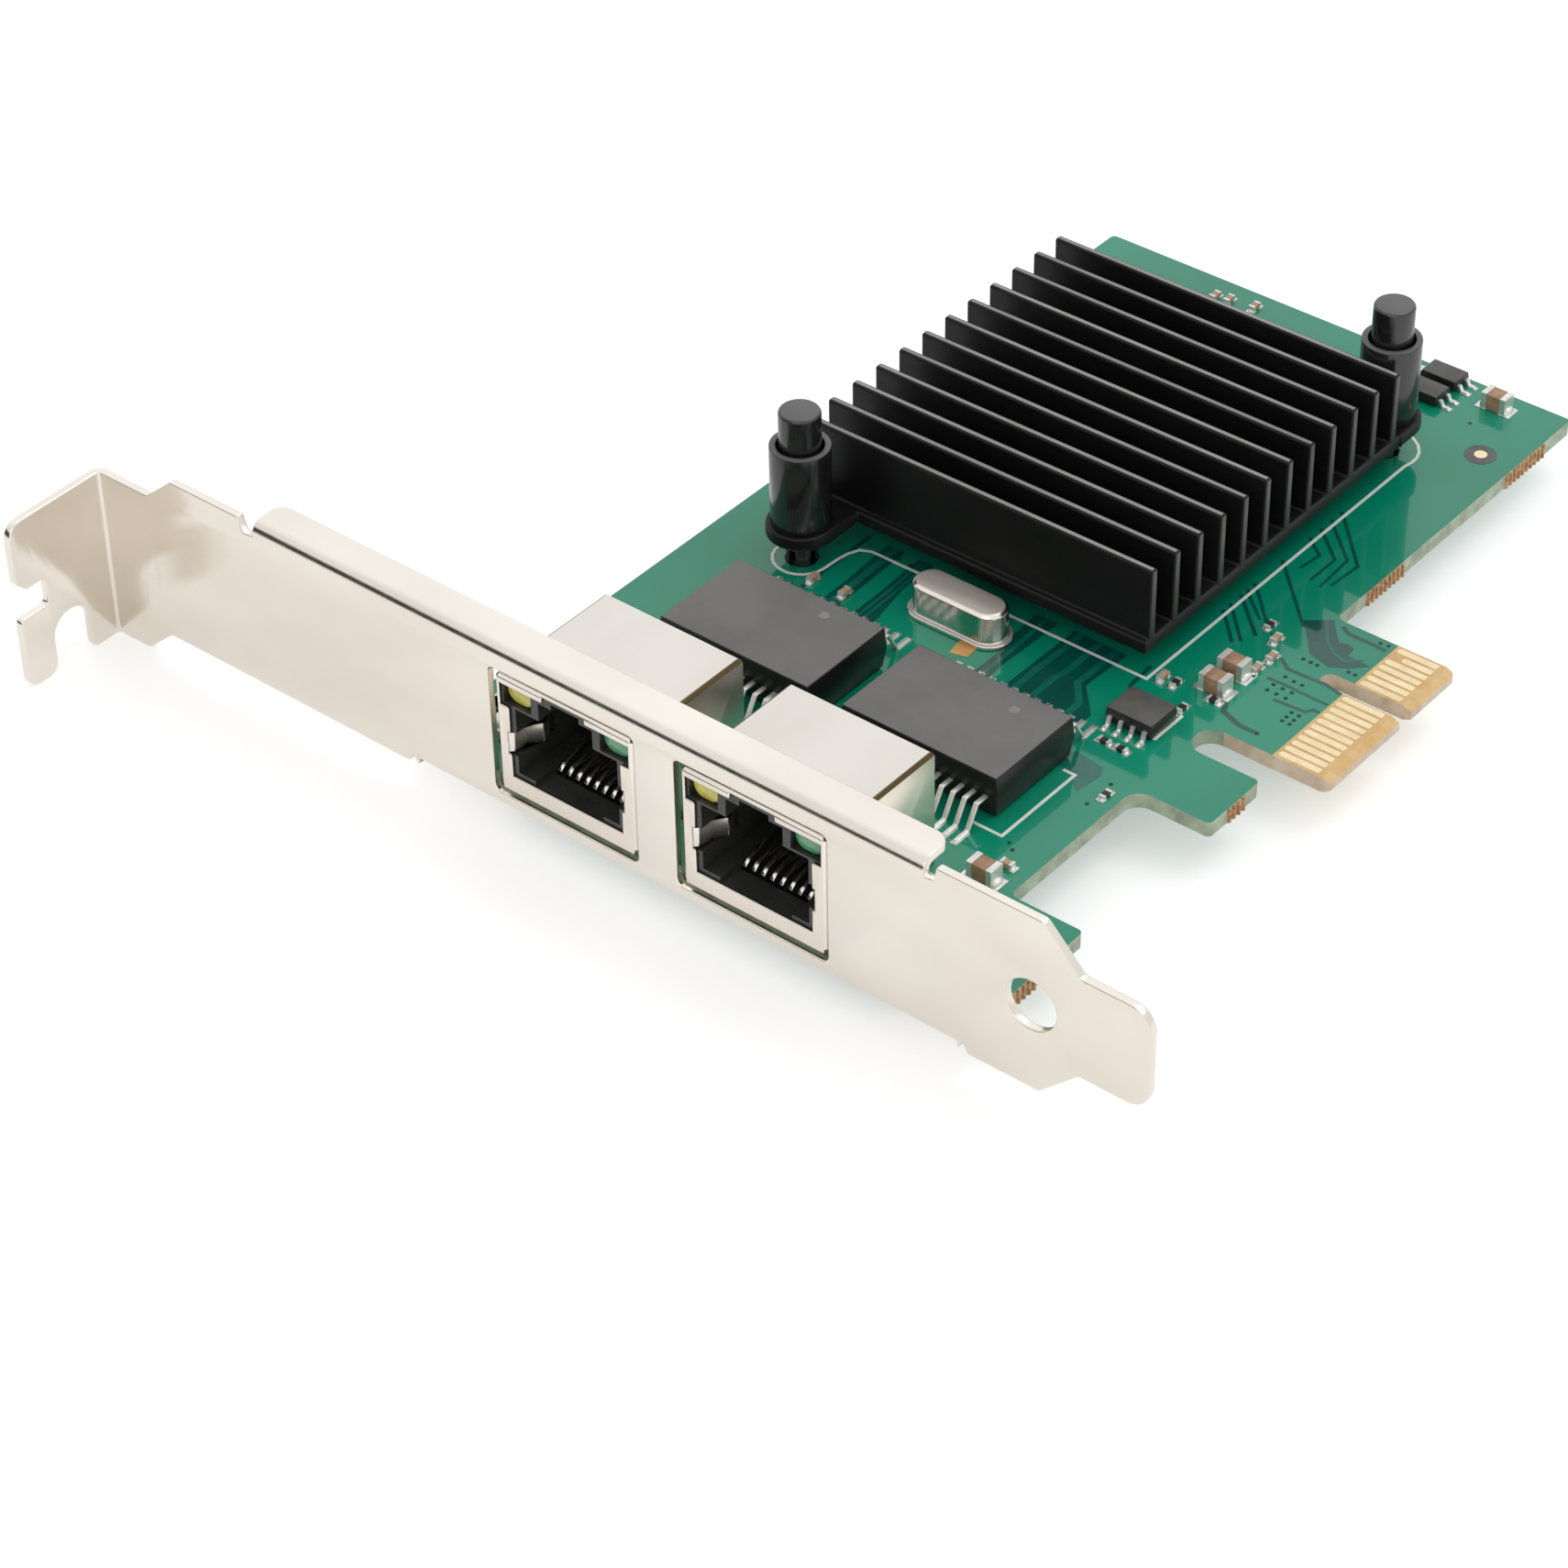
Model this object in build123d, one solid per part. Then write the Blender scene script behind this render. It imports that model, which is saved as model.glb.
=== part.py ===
from build123d import *
import math
import os

# A two-port network card for a server slot. A green board with a gold edge connector carries
# two shielded sockets, their two transformers and a controller chip under a finned heat sink,
# and a folded steel bracket is screwed to its front edge.
# Millimetres. While it is modelled, X runs along the bracket from the outer face of its bent
# tab, Y runs from the bracket's outer face into the card, and Z runs up from the plate's lower
# edge. At the end everything is shifted so that the origin is the middle of the underside.

# Bracket plate
sheet = 0.86
bracket_length = 120.0
plate_height = 18.42
fold_inner_radius = 0.4
strip_drop = 2.95
strip_bottom_end = 4.9
strip_top_end = 7.1
strip_step = 3.35
taper_inset = 10.9
tongue_length = 7.0
tongue_top = 14.4
tongue_bottom = 3.85
tongue_radius = 2.2
plate_corner = 0.8
clamp_hole_inset = 11.9
clamp_hole_z = 9.0
clamp_hole = 5.1

# Windows for the two sockets
window_centre = 57.45
window_pitch = 21.1
window_gap = 0.45
window_bottom = 2.0
window_rise = 0.4
window_corner = 0.7

# Upper lip, lower flange and the two ears that the board is screwed to
lip_start = 20.7
lip_inset = 12.1
lip_depth = 4.0
lip_corner = 1.5
lip_relief = 1.0
lip_start_flare = 0.6
lip_end_flare = 0.3
lip_relief_corner = 0.2
bend_radius = 1.5
relief_width = 1.1
relief_height = 0.9
relief_corner = 0.3
flange_start = 39.6
flange_inset = 8.5
flange_depth = 2.6
ear_length = 9.0
ear_depth = 11.0
ear_corner = 2.5
ear_root = 0.5
collar = 5.6

# Bent tab that the computer's case holds
tab_depth = 11.43
tab_corner = 1.7
finger_width = 3.68
finger_corner = 1.3
notch_bottom = 4.9
notch_top = 7.9
notch_end = 7.9
notch_flare = 1.2
notch_flare_radius = 1.0
notch_edge_radius = 0.4
notch_root_radius = 0.5
notch_lower_radius = 0.6
slot_width = 4.42
slot_top = 2.9
heel_corner = 0.8

# Board
board_bottom = 1.63
board_thickness = 1.57
board_left = 39.45
board_right = 94.4
board_front = 1.1
board_back = 106.2
foot_margin = 1.6
foot_back = 15.5
hook_front = 33.8
hook_back = 41.4
hook_end = 102.4
notch_root = 94.2
inner_corner = 1.8
shoulder_corner = 0.9
finger_front = 45.1
finger_back = 65.4
finger_end = 107.3
edge_bevel = 0.9
edge_bevel_rise = 0.39
board_corner = 0.5

# Edge connector
key_centre = 57.25
key_width = 1.9
key_root = 98.3
key_to_pad = 1.5
pad_pitch = 1.0
pad_width = 0.7
pad_corner = 0.2
pad_start = 101.5
pad_end = 105.9
pad_thickness = 0.05
near_pads = 11
far_pads = 7
short_pad = 17
short_share = 0.74

# Broken-off rows of holes left on the board's edge by its panel
bite_pitch = 0.72
bite_hole = 0.5
bite_proud = 0.25

# Screws through the board into the ears
screw_y = 6.4
screw_inset = 4.6
thread = 3.0
screw_head = 5.6
screw_head_height = 1.9
screw_crown = 0.7
screw_side = 1.1
screw_recess_depth = 0.95
screw_recess_length = 3.1
screw_recess_width = 0.7
screw_clearance = 0.1
screw_length = 4.2

# Sockets, each centred on its own middle
socket_offset = 0.3
socket_width = 15.8
socket_front = 0.0
socket_back = 14.9
socket_height = 12.25
shield_sheet = 0.25
shield_fold = 0.3
shield_skirt = 0.4
shield_gap = 0.05
mouth_side = 1.5
mouth_bottom = 4.55
leaf_bottom = 7.0
leaf_top = 9.4
leaf_relief = 0.3
leaf_sheet = 0.2
leaf_clearance = 0.1
leaf_pocket_side = 0.7
leaf_entry = 0.2
leaf_bulge = 1.1
leaf_end = 0.7
leaf_pocket_depth = 5.2
light_notch_side = 0.5
light_notch_gap = 0.25
light_notch_drop = 0.85
latch_half = 2.45
shield_leg_y = 6.6
shield_leg_width = 1.2
shield_leg_length = 1.2
shield_leg_hole = 1.6
cavity_side = 2.05
cavity_back = 12.0
cavity_drop = 3.3
ledge_top = 5.05
ledge_width = 1.9
latch_step_half = 3.1
latch_step_drop = 1.35
latch_slot_half = 1.6
latch_back = 8.0
peg_spacing = 11.43
peg_y = 10.2
peg = 3.0
peg_length = 2.2
peg_clearance = 0.1

# Contact wires in the sockets
wire_pitch = 1.016
wire_count = 8
wire_width = 0.46
wire_thickness = 0.3
wire_clearance = 0.12
tray_front = 2.7
tray_back = 11.9
tray_floor = 0.4
wire_free_y = 11.3
wire_free_rise = 3.55
tail_near = 8.9
tail_far = 11.4
tail_length = 1.0
tail_hole = 0.8

# Signal lights
light_side = 0.8
light_width = 3.1
light_drop = 3.0
light_height = 2.35
light_front = 0.75
light_back = 8.0
light_corner = 1.2

# Transformers behind the sockets
transformer_length = 17.2
transformer_width = 11.2
transformer_y = 28.3
transformer_gap = 0.2
transformer_height = 4.4
transformer_waist = 2.2
transformer_draft = 0.3
transformer_leads = 13
lead_pitch = 1.27
lead_width = 0.5
lead_thickness = 0.25
lead_shoulder = 1.4
lead_reach = 4.4
lead_foot = 1.7

# Controller chip, thermal pad and heat sink, held by two spring pins at the sink's corners
pin_front_x = 49.6
pin_front_y = 42.5
pin_rear_x = 82.8
pin_rear_y = 90.8
chip_side = 25.0
chip_height = 2.7
chip_rim = 1.5
chip_step = 1.1
thermal_pad = 0.3
sink_left = 46.1
sink_right = 86.1
sink_front = 46.65
sink_back = 88.15
sink_base = 1.4
fin_count = 12
fin_pitch = 3.57
fin_thickness = 0.9
fin_height = 7.5
ear_radius = 3.4
pin_hole = 3.3
pin_clearance = 0.1

# Spring pins
sleeve = 5.85
sleeve_height = 8.5
sleeve_wall = 0.65
sleeve_bore_depth = 4.6
shank_slit = 0.7
barb = 3.9
barb_height = 1.1
barb_tip = 2.3
barb_gap = 0.1
stem = 1.5
plunger_rise = 3.8
plunger_gap = 0.1
cap_gap = 0.25
plunger_rim = 0.2

# Crystal can
crystal_x = 67.6
crystal_y = 43.5
crystal_length = 10.2
crystal_width = 3.7
crystal_rim = 0.5
crystal_base = 0.45
crystal_height = 3.6
crystal_round = 0.35
crystal_lead_pitch = 4.88
crystal_lead = 0.45
crystal_hole = 0.75
crystal_lead_length = 2.6

# Memory chip with eight leads
memory_x = 89.2
memory_y = 41.9
memory_length = 4.9
memory_width = 3.9
memory_gap = 0.1
memory_height = 1.6
memory_draft = 0.15
memory_leads = 4
memory_lead_width = 0.42
memory_lead_reach = 1.05
memory_lead_foot = 0.6
memory_shoulder = 0.2
memory_lead_thickness = 0.2

# Two voltage regulators at the back edge
regulator_length = 3.9
regulator_width = 2.4
regulator_height = 1.15
regulator_gap = 0.05
regulator_places = [(81.0, 104.4), (80.95, 101.05)]
regulator_lead_pitch = 1.3
regulator_leads = 2
regulator_tab_width = 1.6

# Chip capacitors and resistors: middle, and which way the length runs
large_capacitor = (2.7, 1.7, 1.8)
large_capacitor_places = [
    (91.35, 15.9, "x"), (91.8, 49.75, "x"), (91.75, 52.75, "x"), (87.6, 103.5, "x"),
]
small_capacitor = (1.25, 0.7, 0.6)
small_capacitor_places = [
    (92.0, 18.35, "x"), (54.6, 102.8, "y"), (56.1, 103.1, "y"), (92.0, 59.1, "y"), (52.7, 40.3, "y"),
    (56.45, 40.35, "y"), (87.1, 48.2, "y"), (93.1, 54.35, "y"), (93.25, 56.6, "y"), (58.9, 103.6, "y"),
]
small_resistor = (1.2, 0.65, 0.4)
small_resistor_places = [
    (88.5, 48.2, "y"), (91.1, 45.5, "y"), (92.7, 48.2, "x"),
    (88.45, 37.4, "x"), (90.3, 37.35, "x"), (93.0, 31.3, "y"), (52.6, 98.9, "x"), (90.3, 60.6, "y"),
]
end_share = 0.22
part_skin = 0.03

# Sides of the holes, pegs, shanks and wires that are hidden under the parts or too fine to be seen
small_side_count = 8
peg_side_count = 12

# How far a cut runs past a solid, how far joined shapes run into each other, and what keeps two
# arcs from using up the edge between them
past = 1.0
lap = 0.1
arc_slack = 0.01

# Everything that follows from the sizes above
board_top = board_bottom + board_thickness
socket_top = board_top + socket_height
first_socket = window_centre + socket_offset
taper_start = bracket_length - taper_inset
tongue_start = bracket_length - tongue_length
lip_end = taper_start - lip_inset
flange_end = taper_start - flange_inset
foot_right = flange_end + foot_margin
clamp_hole_x = bracket_length - clamp_hole_inset
window_width = socket_width + 2 * window_gap
window_top = socket_top + window_rise
cavity_top = socket_top - cavity_drop
latch_step_top = socket_top - latch_step_drop
light_bottom = socket_top - light_drop
light_notch_bottom = light_bottom - light_notch_gap
light_notch_top = socket_top - light_notch_drop
mouth_half = socket_width / 2 - mouth_side
light_notch_half = socket_width / 2 - light_notch_side
leaf_pocket_half = socket_width / 2 - leaf_pocket_side
cavity_half = socket_width / 2 - cavity_side
ledge_inner = cavity_half - ledge_width
light_inner = socket_width / 2 - light_side - light_width
pin_places = [(pin_front_x, pin_front_y), (pin_rear_x, pin_rear_y)]
chip_x = (pin_front_x + pin_rear_x) / 2
chip_y = (pin_front_y + pin_rear_y) / 2
sink_bottom = board_top + chip_height + thermal_pad
sink_seat = sink_bottom + sink_base
screw_places = [(flange_start + screw_inset, screw_y), (flange_end - screw_inset, screw_y)]
bite_rows = [
    (board_right, 70.3, 10), (board_right, 94.2, 11), (hook_end, 36.3, 5), (foot_right, 5.2, 6),
]
leaf_path = [
    (mouth_half + leaf_relief + lap, shield_sheet / 2), (mouth_half, 0.5),
    (mouth_half - leaf_entry, 1.9), (mouth_half - leaf_bulge, 3.1), (mouth_half - leaf_end, 4.5),
]
wire_bend = [(3.65, 0.0), (3.2, 0.38), (3.2, 0.88), (3.7, 1.25)]


def block(x0, x1, y0, y1, z0, z1):
    return Pos((x0 + x1) / 2, (y0 + y1) / 2, (z0 + z1) / 2) * Box(x1 - x0, y1 - y0, z1 - z0)


def rod(x, y, z0, z1, diameter):
    return Pos(x, y, (z0 + z1) / 2) * Cylinder(diameter / 2, z1 - z0)


def bar(x, y, z0, z1, width, sides):
    # A fine rod with flat sides
    return extrude(Pos(x, y, z0) * RegularPolygon(width / 2, sides), z1 - z0)


def outline(points):
    # A closed face from (u, v, corner radius) points
    path = FilletPolyline(*[(u, v) for u, v, r in points], radius=[r for u, v, r in points], close=True)
    return make_face(path)


def sharp(points):
    return make_face(Polyline(*points, close=True))


def along_x(face, x0, x1):
    # The face's own axes are Y and Z
    return extrude(Plane.YZ * Pos(0, 0, x0) * face, x1 - x0)


def along_y(face, y0, y1):
    # The face's own axes are X and Z
    return extrude(Plane.XZ * Pos(0, 0, -y1) * face, y1 - y0)


def along_z(face, z0, z1):
    return extrude(Pos(0, 0, z0) * face, z1 - z0)


def strip(path, thickness):
    # A bent strip of even thickness that follows the middle line through the given points
    directions = []
    for (a, b), (c, d) in zip(path, path[1:]):
        span = math.hypot(c - a, d - b)
        directions.append(((c - a) / span, (d - b) / span))
    left = []
    right = []
    for i, (u, v) in enumerate(path):
        before = directions[max(i - 1, 0)]
        after = directions[min(i, len(directions) - 1)]
        nu = -(before[1] + after[1])
        nv = before[0] + after[0]
        size = math.hypot(nu, nv)
        reach = thickness / size
        left.append((u + nu / size * reach, v + nv / size * reach))
        right.append((u - nu / size * reach, v - nv / size * reach))
    return sharp(left + right[::-1])


def save(node, shape):
    solids = [Pos(*origin_shift) * solid for solid in shape.solids()]
    export_step(solids[0] if len(solids) == 1 else Compound(solids), "parts/" + node + ".step")


# Bracket

def plate_outline():
    relief = plate_height - bend_radius
    return outline([
        (0, -strip_drop, 0), (strip_bottom_end, -strip_drop, plate_corner),
        (strip_bottom_end + strip_step, 0, plate_corner),
        (flange_start - relief_width, 0, relief_corner),
        (flange_start - relief_width / 2, relief_height, 0), (flange_start, 0, 0), (flange_end, 0, 0),
        (flange_end + relief_width / 2, relief_height, 0), (flange_end + relief_width, 0, relief_corner),
        (taper_start, 0, plate_corner), (tongue_start, tongue_bottom, plate_corner),
        (bracket_length, tongue_bottom, tongue_radius), (bracket_length, tongue_top, tongue_radius),
        (tongue_start, tongue_top, plate_corner), (taper_start, plate_height, plate_corner),
        (lip_end + lip_relief + lip_end_flare, plate_height, lip_relief_corner),
        (lip_end + lip_relief, relief, 0), (lip_end, relief, 0),
        (lip_start, relief, 0), (lip_start - lip_relief, relief, 0),
        (lip_start - lip_relief - lip_start_flare, plate_height, lip_relief_corner),
        (strip_top_end + strip_step, plate_height, plate_corner),
        (strip_top_end, plate_height - strip_drop, plate_corner), (0, plate_height - strip_drop, 0),
    ])


def tab_outline():
    # The tab seen along X, and the whole plate behind it
    top = plate_height - strip_drop
    outer = -tab_depth
    finger_side = outer + finger_width
    heel_side = finger_side + slot_width
    slot_round = slot_width / 2 - arc_slack
    return outline([
        (sheet, plate_height, 0), (0, plate_height, 0), (0, top, 0), (outer, top, tab_corner),
        (outer, notch_top + notch_flare, notch_flare_radius),
        (outer + notch_flare, notch_top, notch_edge_radius), (-notch_end, notch_top, notch_root_radius),
        (-notch_end, notch_bottom, notch_root_radius), (outer, notch_bottom, notch_lower_radius),
        (outer, -strip_drop, finger_corner), (finger_side, -strip_drop, finger_corner),
        (finger_side, slot_top, slot_round), (heel_side, slot_top, slot_round),
        (heel_side, -strip_drop, heel_corner), (sheet, -strip_drop, 0),
    ])


def folded_plate():
    reach = fold_inner_radius + sheet
    bend = outline([
        (sheet, -tab_depth, 0), (0, -tab_depth, 0), (0, sheet, reach), (bracket_length, sheet, 0),
        (bracket_length, 0, 0), (sheet, 0, fold_inner_radius),
    ])
    body = along_z(bend, -strip_drop, plate_height)
    body &= along_y(plate_outline(), -tab_depth - past, sheet + past)
    return body & along_x(tab_outline(), -past, bracket_length + past)


def upper_lip():
    inner = bend_radius - sheet
    curl = outline([
        (0, plate_height - bend_radius - sheet, 0), (0, plate_height, bend_radius),
        (lip_depth, plate_height, 0), (lip_depth, plate_height - sheet, 0),
        (sheet, plate_height - sheet, inner), (sheet, plate_height - bend_radius - sheet, 0),
    ])
    plan = outline([
        (lip_start, -past, 0), (lip_start, lip_depth, lip_corner), (lip_end, lip_depth, lip_corner),
        (lip_end, -past, 0),
    ])
    return along_x(curl, lip_start, lip_end) & along_z(plan, 0, plate_height + past)


def lower_flange():
    inner = bend_radius - sheet
    curl = outline([
        (0, bend_radius + sheet, 0), (0, 0, bend_radius), (ear_depth, 0, 0), (ear_depth, sheet, 0),
        (sheet, sheet, inner), (sheet, bend_radius + sheet, 0),
    ])
    plan = outline([
        (flange_start, -past, 0), (flange_start, ear_depth, ear_corner),
        (flange_start + ear_length, ear_depth, ear_corner),
        (flange_start + ear_length, flange_depth, ear_root),
        (flange_end - ear_length, flange_depth, ear_root),
        (flange_end - ear_length, ear_depth, ear_corner), (flange_end, ear_depth, ear_corner),
        (flange_end, -past, 0),
    ])
    return along_x(curl, flange_start, flange_end) & along_z(plan, -past, plate_height)


def mounting_bracket():
    body = folded_plate()
    body -= block(flange_start, flange_end, -past, sheet + past, -past, bend_radius)
    body = body + upper_lip() + lower_flange()
    for x, y in screw_places:
        body += rod(x, y, 0, board_bottom, collar)
        body -= rod(x, y, -past, board_bottom + past, thread)
    for i in range(2):
        x = window_centre + i * window_pitch
        half = window_width / 2
        hole = outline([
            (x - half, window_bottom, window_corner), (x + half, window_bottom, window_corner),
            (x + half, window_top, window_corner), (x - half, window_top, window_corner),
        ])
        body -= along_y(hole, -past, sheet + lap)
    drill = Rot(90, 0, 0) * Cylinder(clamp_hole / 2, 2 * (sheet + past))
    return body - Pos(clamp_hole_x, 0, clamp_hole_z) * drill


def bracket_screws():
    # Pan heads with a plain cross recess
    screws = []
    crown = board_top + screw_head_height
    arm = screw_recess_length / 2
    half = screw_recess_width / 2
    for x, y in screw_places:
        shank = bar(x, y, board_top - screw_length, board_top + lap, thread - screw_clearance,
                    peg_side_count)
        head = rod(x, y, board_top, crown, screw_head)
        head = chamfer(head.faces().sort_by(Axis.Z)[-1].edges(), screw_crown, screw_side)
        for a, b in ((arm, half), (half, arm)):
            head -= block(x - a, x + a, y - b, y + b, crown - screw_recess_depth, crown + past)
        screws.append((shank + head).solid())
    return Compound(screws)


# Board and its edge connector

def board_plan():
    return outline([
        (board_left, board_front, board_corner), (foot_right, board_front, board_corner),
        (foot_right, foot_back, board_corner), (board_right, foot_back, shoulder_corner),
        (board_right, hook_front, inner_corner), (hook_end, hook_front, board_corner),
        (hook_end, hook_back, board_corner), (notch_root, hook_back, inner_corner),
        (notch_root, finger_front, inner_corner), (finger_end, finger_front, board_corner),
        (finger_end, finger_back, board_corner), (board_right, finger_back, shoulder_corner),
        (board_right, board_back, board_corner), (board_left, board_back, board_corner),
    ])


def hidden_holes():
    # Place and width of the holes, which the parts over them cover
    holes = [(x, y, thread + 2 * screw_clearance) for x, y in screw_places]
    holes += [(x, y, pin_hole) for x, y in pin_places]
    holes += [(crystal_x + s * crystal_lead_pitch / 2, crystal_y, crystal_hole) for s in (-1, 1)]
    for i in range(2):
        x = first_socket + i * window_pitch
        for s in (-1, 1):
            holes.append((x + s * peg_spacing / 2, peg_y, peg + 2 * peg_clearance))
            leg_x = x + s * (socket_width - shield_sheet) / 2
            holes.append((leg_x, shield_leg_y, shield_leg_hole))
        holes += [(x + wire_x(n), tail_y(n), tail_hole) for n in range(wire_count)]
    return holes


def circuit_board():
    body = along_z(board_plan(), board_bottom, board_top)
    low = board_bottom - past
    high = board_top + past
    half = key_width / 2
    body -= block(key_root + half, finger_end + past, key_centre - half, key_centre + half, low, high)
    body -= rod(key_root + half, key_centre, low, high, key_width)
    rise = edge_bevel_rise * (1 + past / edge_bevel)
    for face, side in ((board_bottom, 1), (board_top, -1)):
        wedge = sharp([
            (finger_end - edge_bevel, face), (finger_end + past, face + side * rise),
            (finger_end + past, face),
        ])
        body -= along_y(wedge, finger_front - past, finger_back + past)
    for edge, start, count in bite_rows:
        end = start + (count - 1) * bite_pitch
        body += block(edge - past, edge + bite_proud, start, end, board_bottom, board_top)
        for n in range(count):
            body -= bar(edge + bite_proud, start + n * bite_pitch, low, high, bite_hole, small_side_count)
    for x, y, width in hidden_holes():
        body -= bar(x, y, low, high, width, peg_side_count if width > peg else small_side_count)
    return body


def edge_contacts():
    # Both faces of the connector carry the same row, and one short pad on each tells the slot
    # that the card is in
    pads = []
    for n in range(1, near_pads + far_pads + 1):
        if n <= near_pads:
            y = key_centre - key_to_pad - (near_pads - n) * pad_pitch
        else:
            y = key_centre + key_to_pad + (n - near_pads - 1) * pad_pitch
        for z, short in ((board_top, short_pad), (board_bottom - pad_thickness, 1)):
            length = pad_end - pad_start
            start = pad_start + (length * (1 - short_share) if n == short else 0)
            half = pad_width / 2
            face = sharp([
                (start, y - half + pad_corner), (start + pad_corner, y - half), (pad_end, y - half),
                (pad_end, y + half), (start + pad_corner, y + half), (start, y + half - pad_corner),
            ])
            pads.append(along_z(face, z, z + pad_thickness).solid())
    return Compound(pads)


# Sockets, in a frame whose X is measured from the socket's own middle

def mirrored(points):
    return points + [(-u, v) for u, v in points[::-1]]


def shield_mouth():
    return sharp(mirrored([
        (mouth_half, mouth_bottom), (mouth_half, leaf_bottom), (mouth_half + leaf_relief, leaf_bottom),
        (mouth_half + leaf_relief, leaf_top), (mouth_half, leaf_top), (mouth_half, light_notch_bottom),
        (light_notch_half, light_notch_bottom), (light_notch_half, light_notch_top),
        (latch_half, light_notch_top), (latch_half, socket_top - shield_sheet),
    ]))


def jack_shield():
    half = socket_width / 2
    outer = block(-half, half, socket_front, socket_back, board_top, socket_top)
    outer = chamfer(outer.faces().sort_by(Axis.Y)[0].edges().filter_by(Axis.Z), shield_fold)
    outer = chamfer(outer.faces().sort_by(Axis.Z)[-1].edges(), shield_fold)
    body = outer - block(-half + shield_sheet, half - shield_sheet, socket_front + shield_sheet,
                         socket_back - shield_sheet, board_top - past, socket_top - shield_sheet)
    body += block(-half + shield_fold, half - shield_fold, socket_front, socket_front + shield_sheet,
                  board_top - shield_skirt, board_top + past)
    body -= along_y(shield_mouth(), socket_front - past, socket_front + shield_sheet + lap)
    for s in (-1, 1):
        leaf = strip([(s * u, socket_front + v) for u, v in leaf_path], leaf_sheet)
        body += along_z(leaf, leaf_bottom + leaf_clearance, leaf_top - leaf_clearance)
        near, far = sorted((s * half, s * (half - shield_sheet)))
        body += block(near, far, shield_leg_y - shield_leg_width / 2, shield_leg_y + shield_leg_width / 2,
                      board_bottom - shield_leg_length, board_top + past)
    return body


def light_block(side, clearance):
    # A signal light, or the pocket for one when a clearance is given
    x0 = light_inner - clearance
    x1 = light_inner + light_width + clearance
    z0 = light_bottom - clearance
    z1 = light_bottom + light_height + clearance
    corner = light_corner if clearance == 0 else 0
    front = light_front if clearance == 0 else socket_front
    face = outline([
        (side * x0, z0, corner), (side * x1, z0, corner), (side * x1, z1, 0), (side * x0, z1, 0),
    ])
    return along_y(face, front, light_back + clearance)


def jack_housing():
    half = socket_width / 2 - shield_sheet - shield_gap
    front = socket_front + shield_sheet + shield_gap
    body = block(-half, half, front, socket_back - shield_sheet - shield_gap,
                 board_top, socket_top - shield_sheet - shield_gap)
    cavity = sharp(mirrored([
        (ledge_inner, mouth_bottom), (ledge_inner, ledge_top), (cavity_half, ledge_top),
        (cavity_half, cavity_top),
    ]))
    body -= along_y(cavity, -past, cavity_back)
    latch = sharp(mirrored([
        (latch_step_half, cavity_top - lap), (latch_step_half, latch_step_top),
        (latch_slot_half, latch_step_top), (latch_slot_half, socket_top - 3 * shield_sheet),
    ]))
    body -= along_y(latch, -past, latch_back)
    tray = board_top + tray_floor
    wires_half = wire_x(wire_count - 1) + wire_width / 2 + wire_clearance
    body -= block(-wires_half, wires_half, tray_front, tray_back, tray, mouth_bottom + lap)
    for y in (tail_near, tail_far):
        reach = wire_thickness / 2 + wire_clearance
        body -= block(-wires_half, wires_half, y - reach, y + reach, board_top - past, tray + lap)
    for s in (-1, 1):
        body -= light_block(s, shield_gap)
        near, far = sorted((s * (cavity_half - lap), s * leaf_pocket_half))
        body -= block(near, far, -past, leaf_pocket_depth, leaf_bottom - leaf_clearance,
                      leaf_top + leaf_clearance)
        body += bar(s * peg_spacing / 2, peg_y, board_top - peg_length, board_top + lap, peg, peg_side_count)
    return body


def wire_x(n):
    return (n - (wire_count - 1) / 2) * wire_pitch


def tail_y(n):
    return tail_near if n % 2 else tail_far


def jack_contacts():
    # Each wire comes up through the board, runs forward along the tray, turns back over itself
    # at the mouth and slopes up to its free end, which a plug presses down
    wires = []
    level = board_top + tray_floor + wire_clearance + wire_thickness / 2
    for n in range(wire_count):
        path = [(tail_y(n), board_bottom - tail_length), (tail_y(n), level)]
        path += [(y, level + rise) for y, rise in wire_bend]
        path.append((wire_free_y, level + wire_free_rise))
        half = wire_width / 2
        wires.append(along_x(strip(path, wire_thickness), wire_x(n) - half, wire_x(n) + half).solid())
    return Compound(wires)


# Leaded packages, in a frame whose origin is the package's middle on the board

def drafted_body(length, width, bottom, waist, height, draft):
    # Moulded in two halves that both taper away from the line where the leads come out
    lower = loft([
        Pos(0, 0, bottom) * Rectangle(length - draft, width - draft),
        Pos(0, 0, waist) * Rectangle(length + draft, width + draft),
    ])
    upper = loft([
        Pos(0, 0, waist) * Rectangle(length + draft, width + draft),
        Pos(0, 0, height) * Rectangle(length, width),
    ])
    return lower + upper


def gull_lead(start, waist, shoulder, reach, foot, thickness):
    # Out of the body, down to the board and out again, as (distance from the middle, height)
    sole = board_top + thickness / 2
    return strip([
        (start, waist), (start + shoulder, waist), (start + reach - foot, sole), (start + reach, sole),
    ], thickness)


def lead_rows(count, pitch, width, profile):
    leads = []
    for n in range(count):
        x = (n - (count - 1) / 2) * pitch
        lead = along_x(profile, x - width / 2, x + width / 2)
        leads += [lead.solid(), (Rot(0, 0, 180) * lead).solid()]
    return leads


def transformer_body():
    bottom = board_top + transformer_gap
    return drafted_body(transformer_length, transformer_width, bottom, bottom + transformer_waist,
                        bottom + transformer_height, transformer_draft)


def transformer_lead_rows():
    waist = board_top + transformer_gap + transformer_waist
    side = (transformer_width + transformer_draft) / 2
    profile = gull_lead(side, waist, lead_shoulder, lead_reach, lead_foot, lead_thickness)
    return Compound(lead_rows(transformer_leads, lead_pitch, lead_width, profile))


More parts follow.
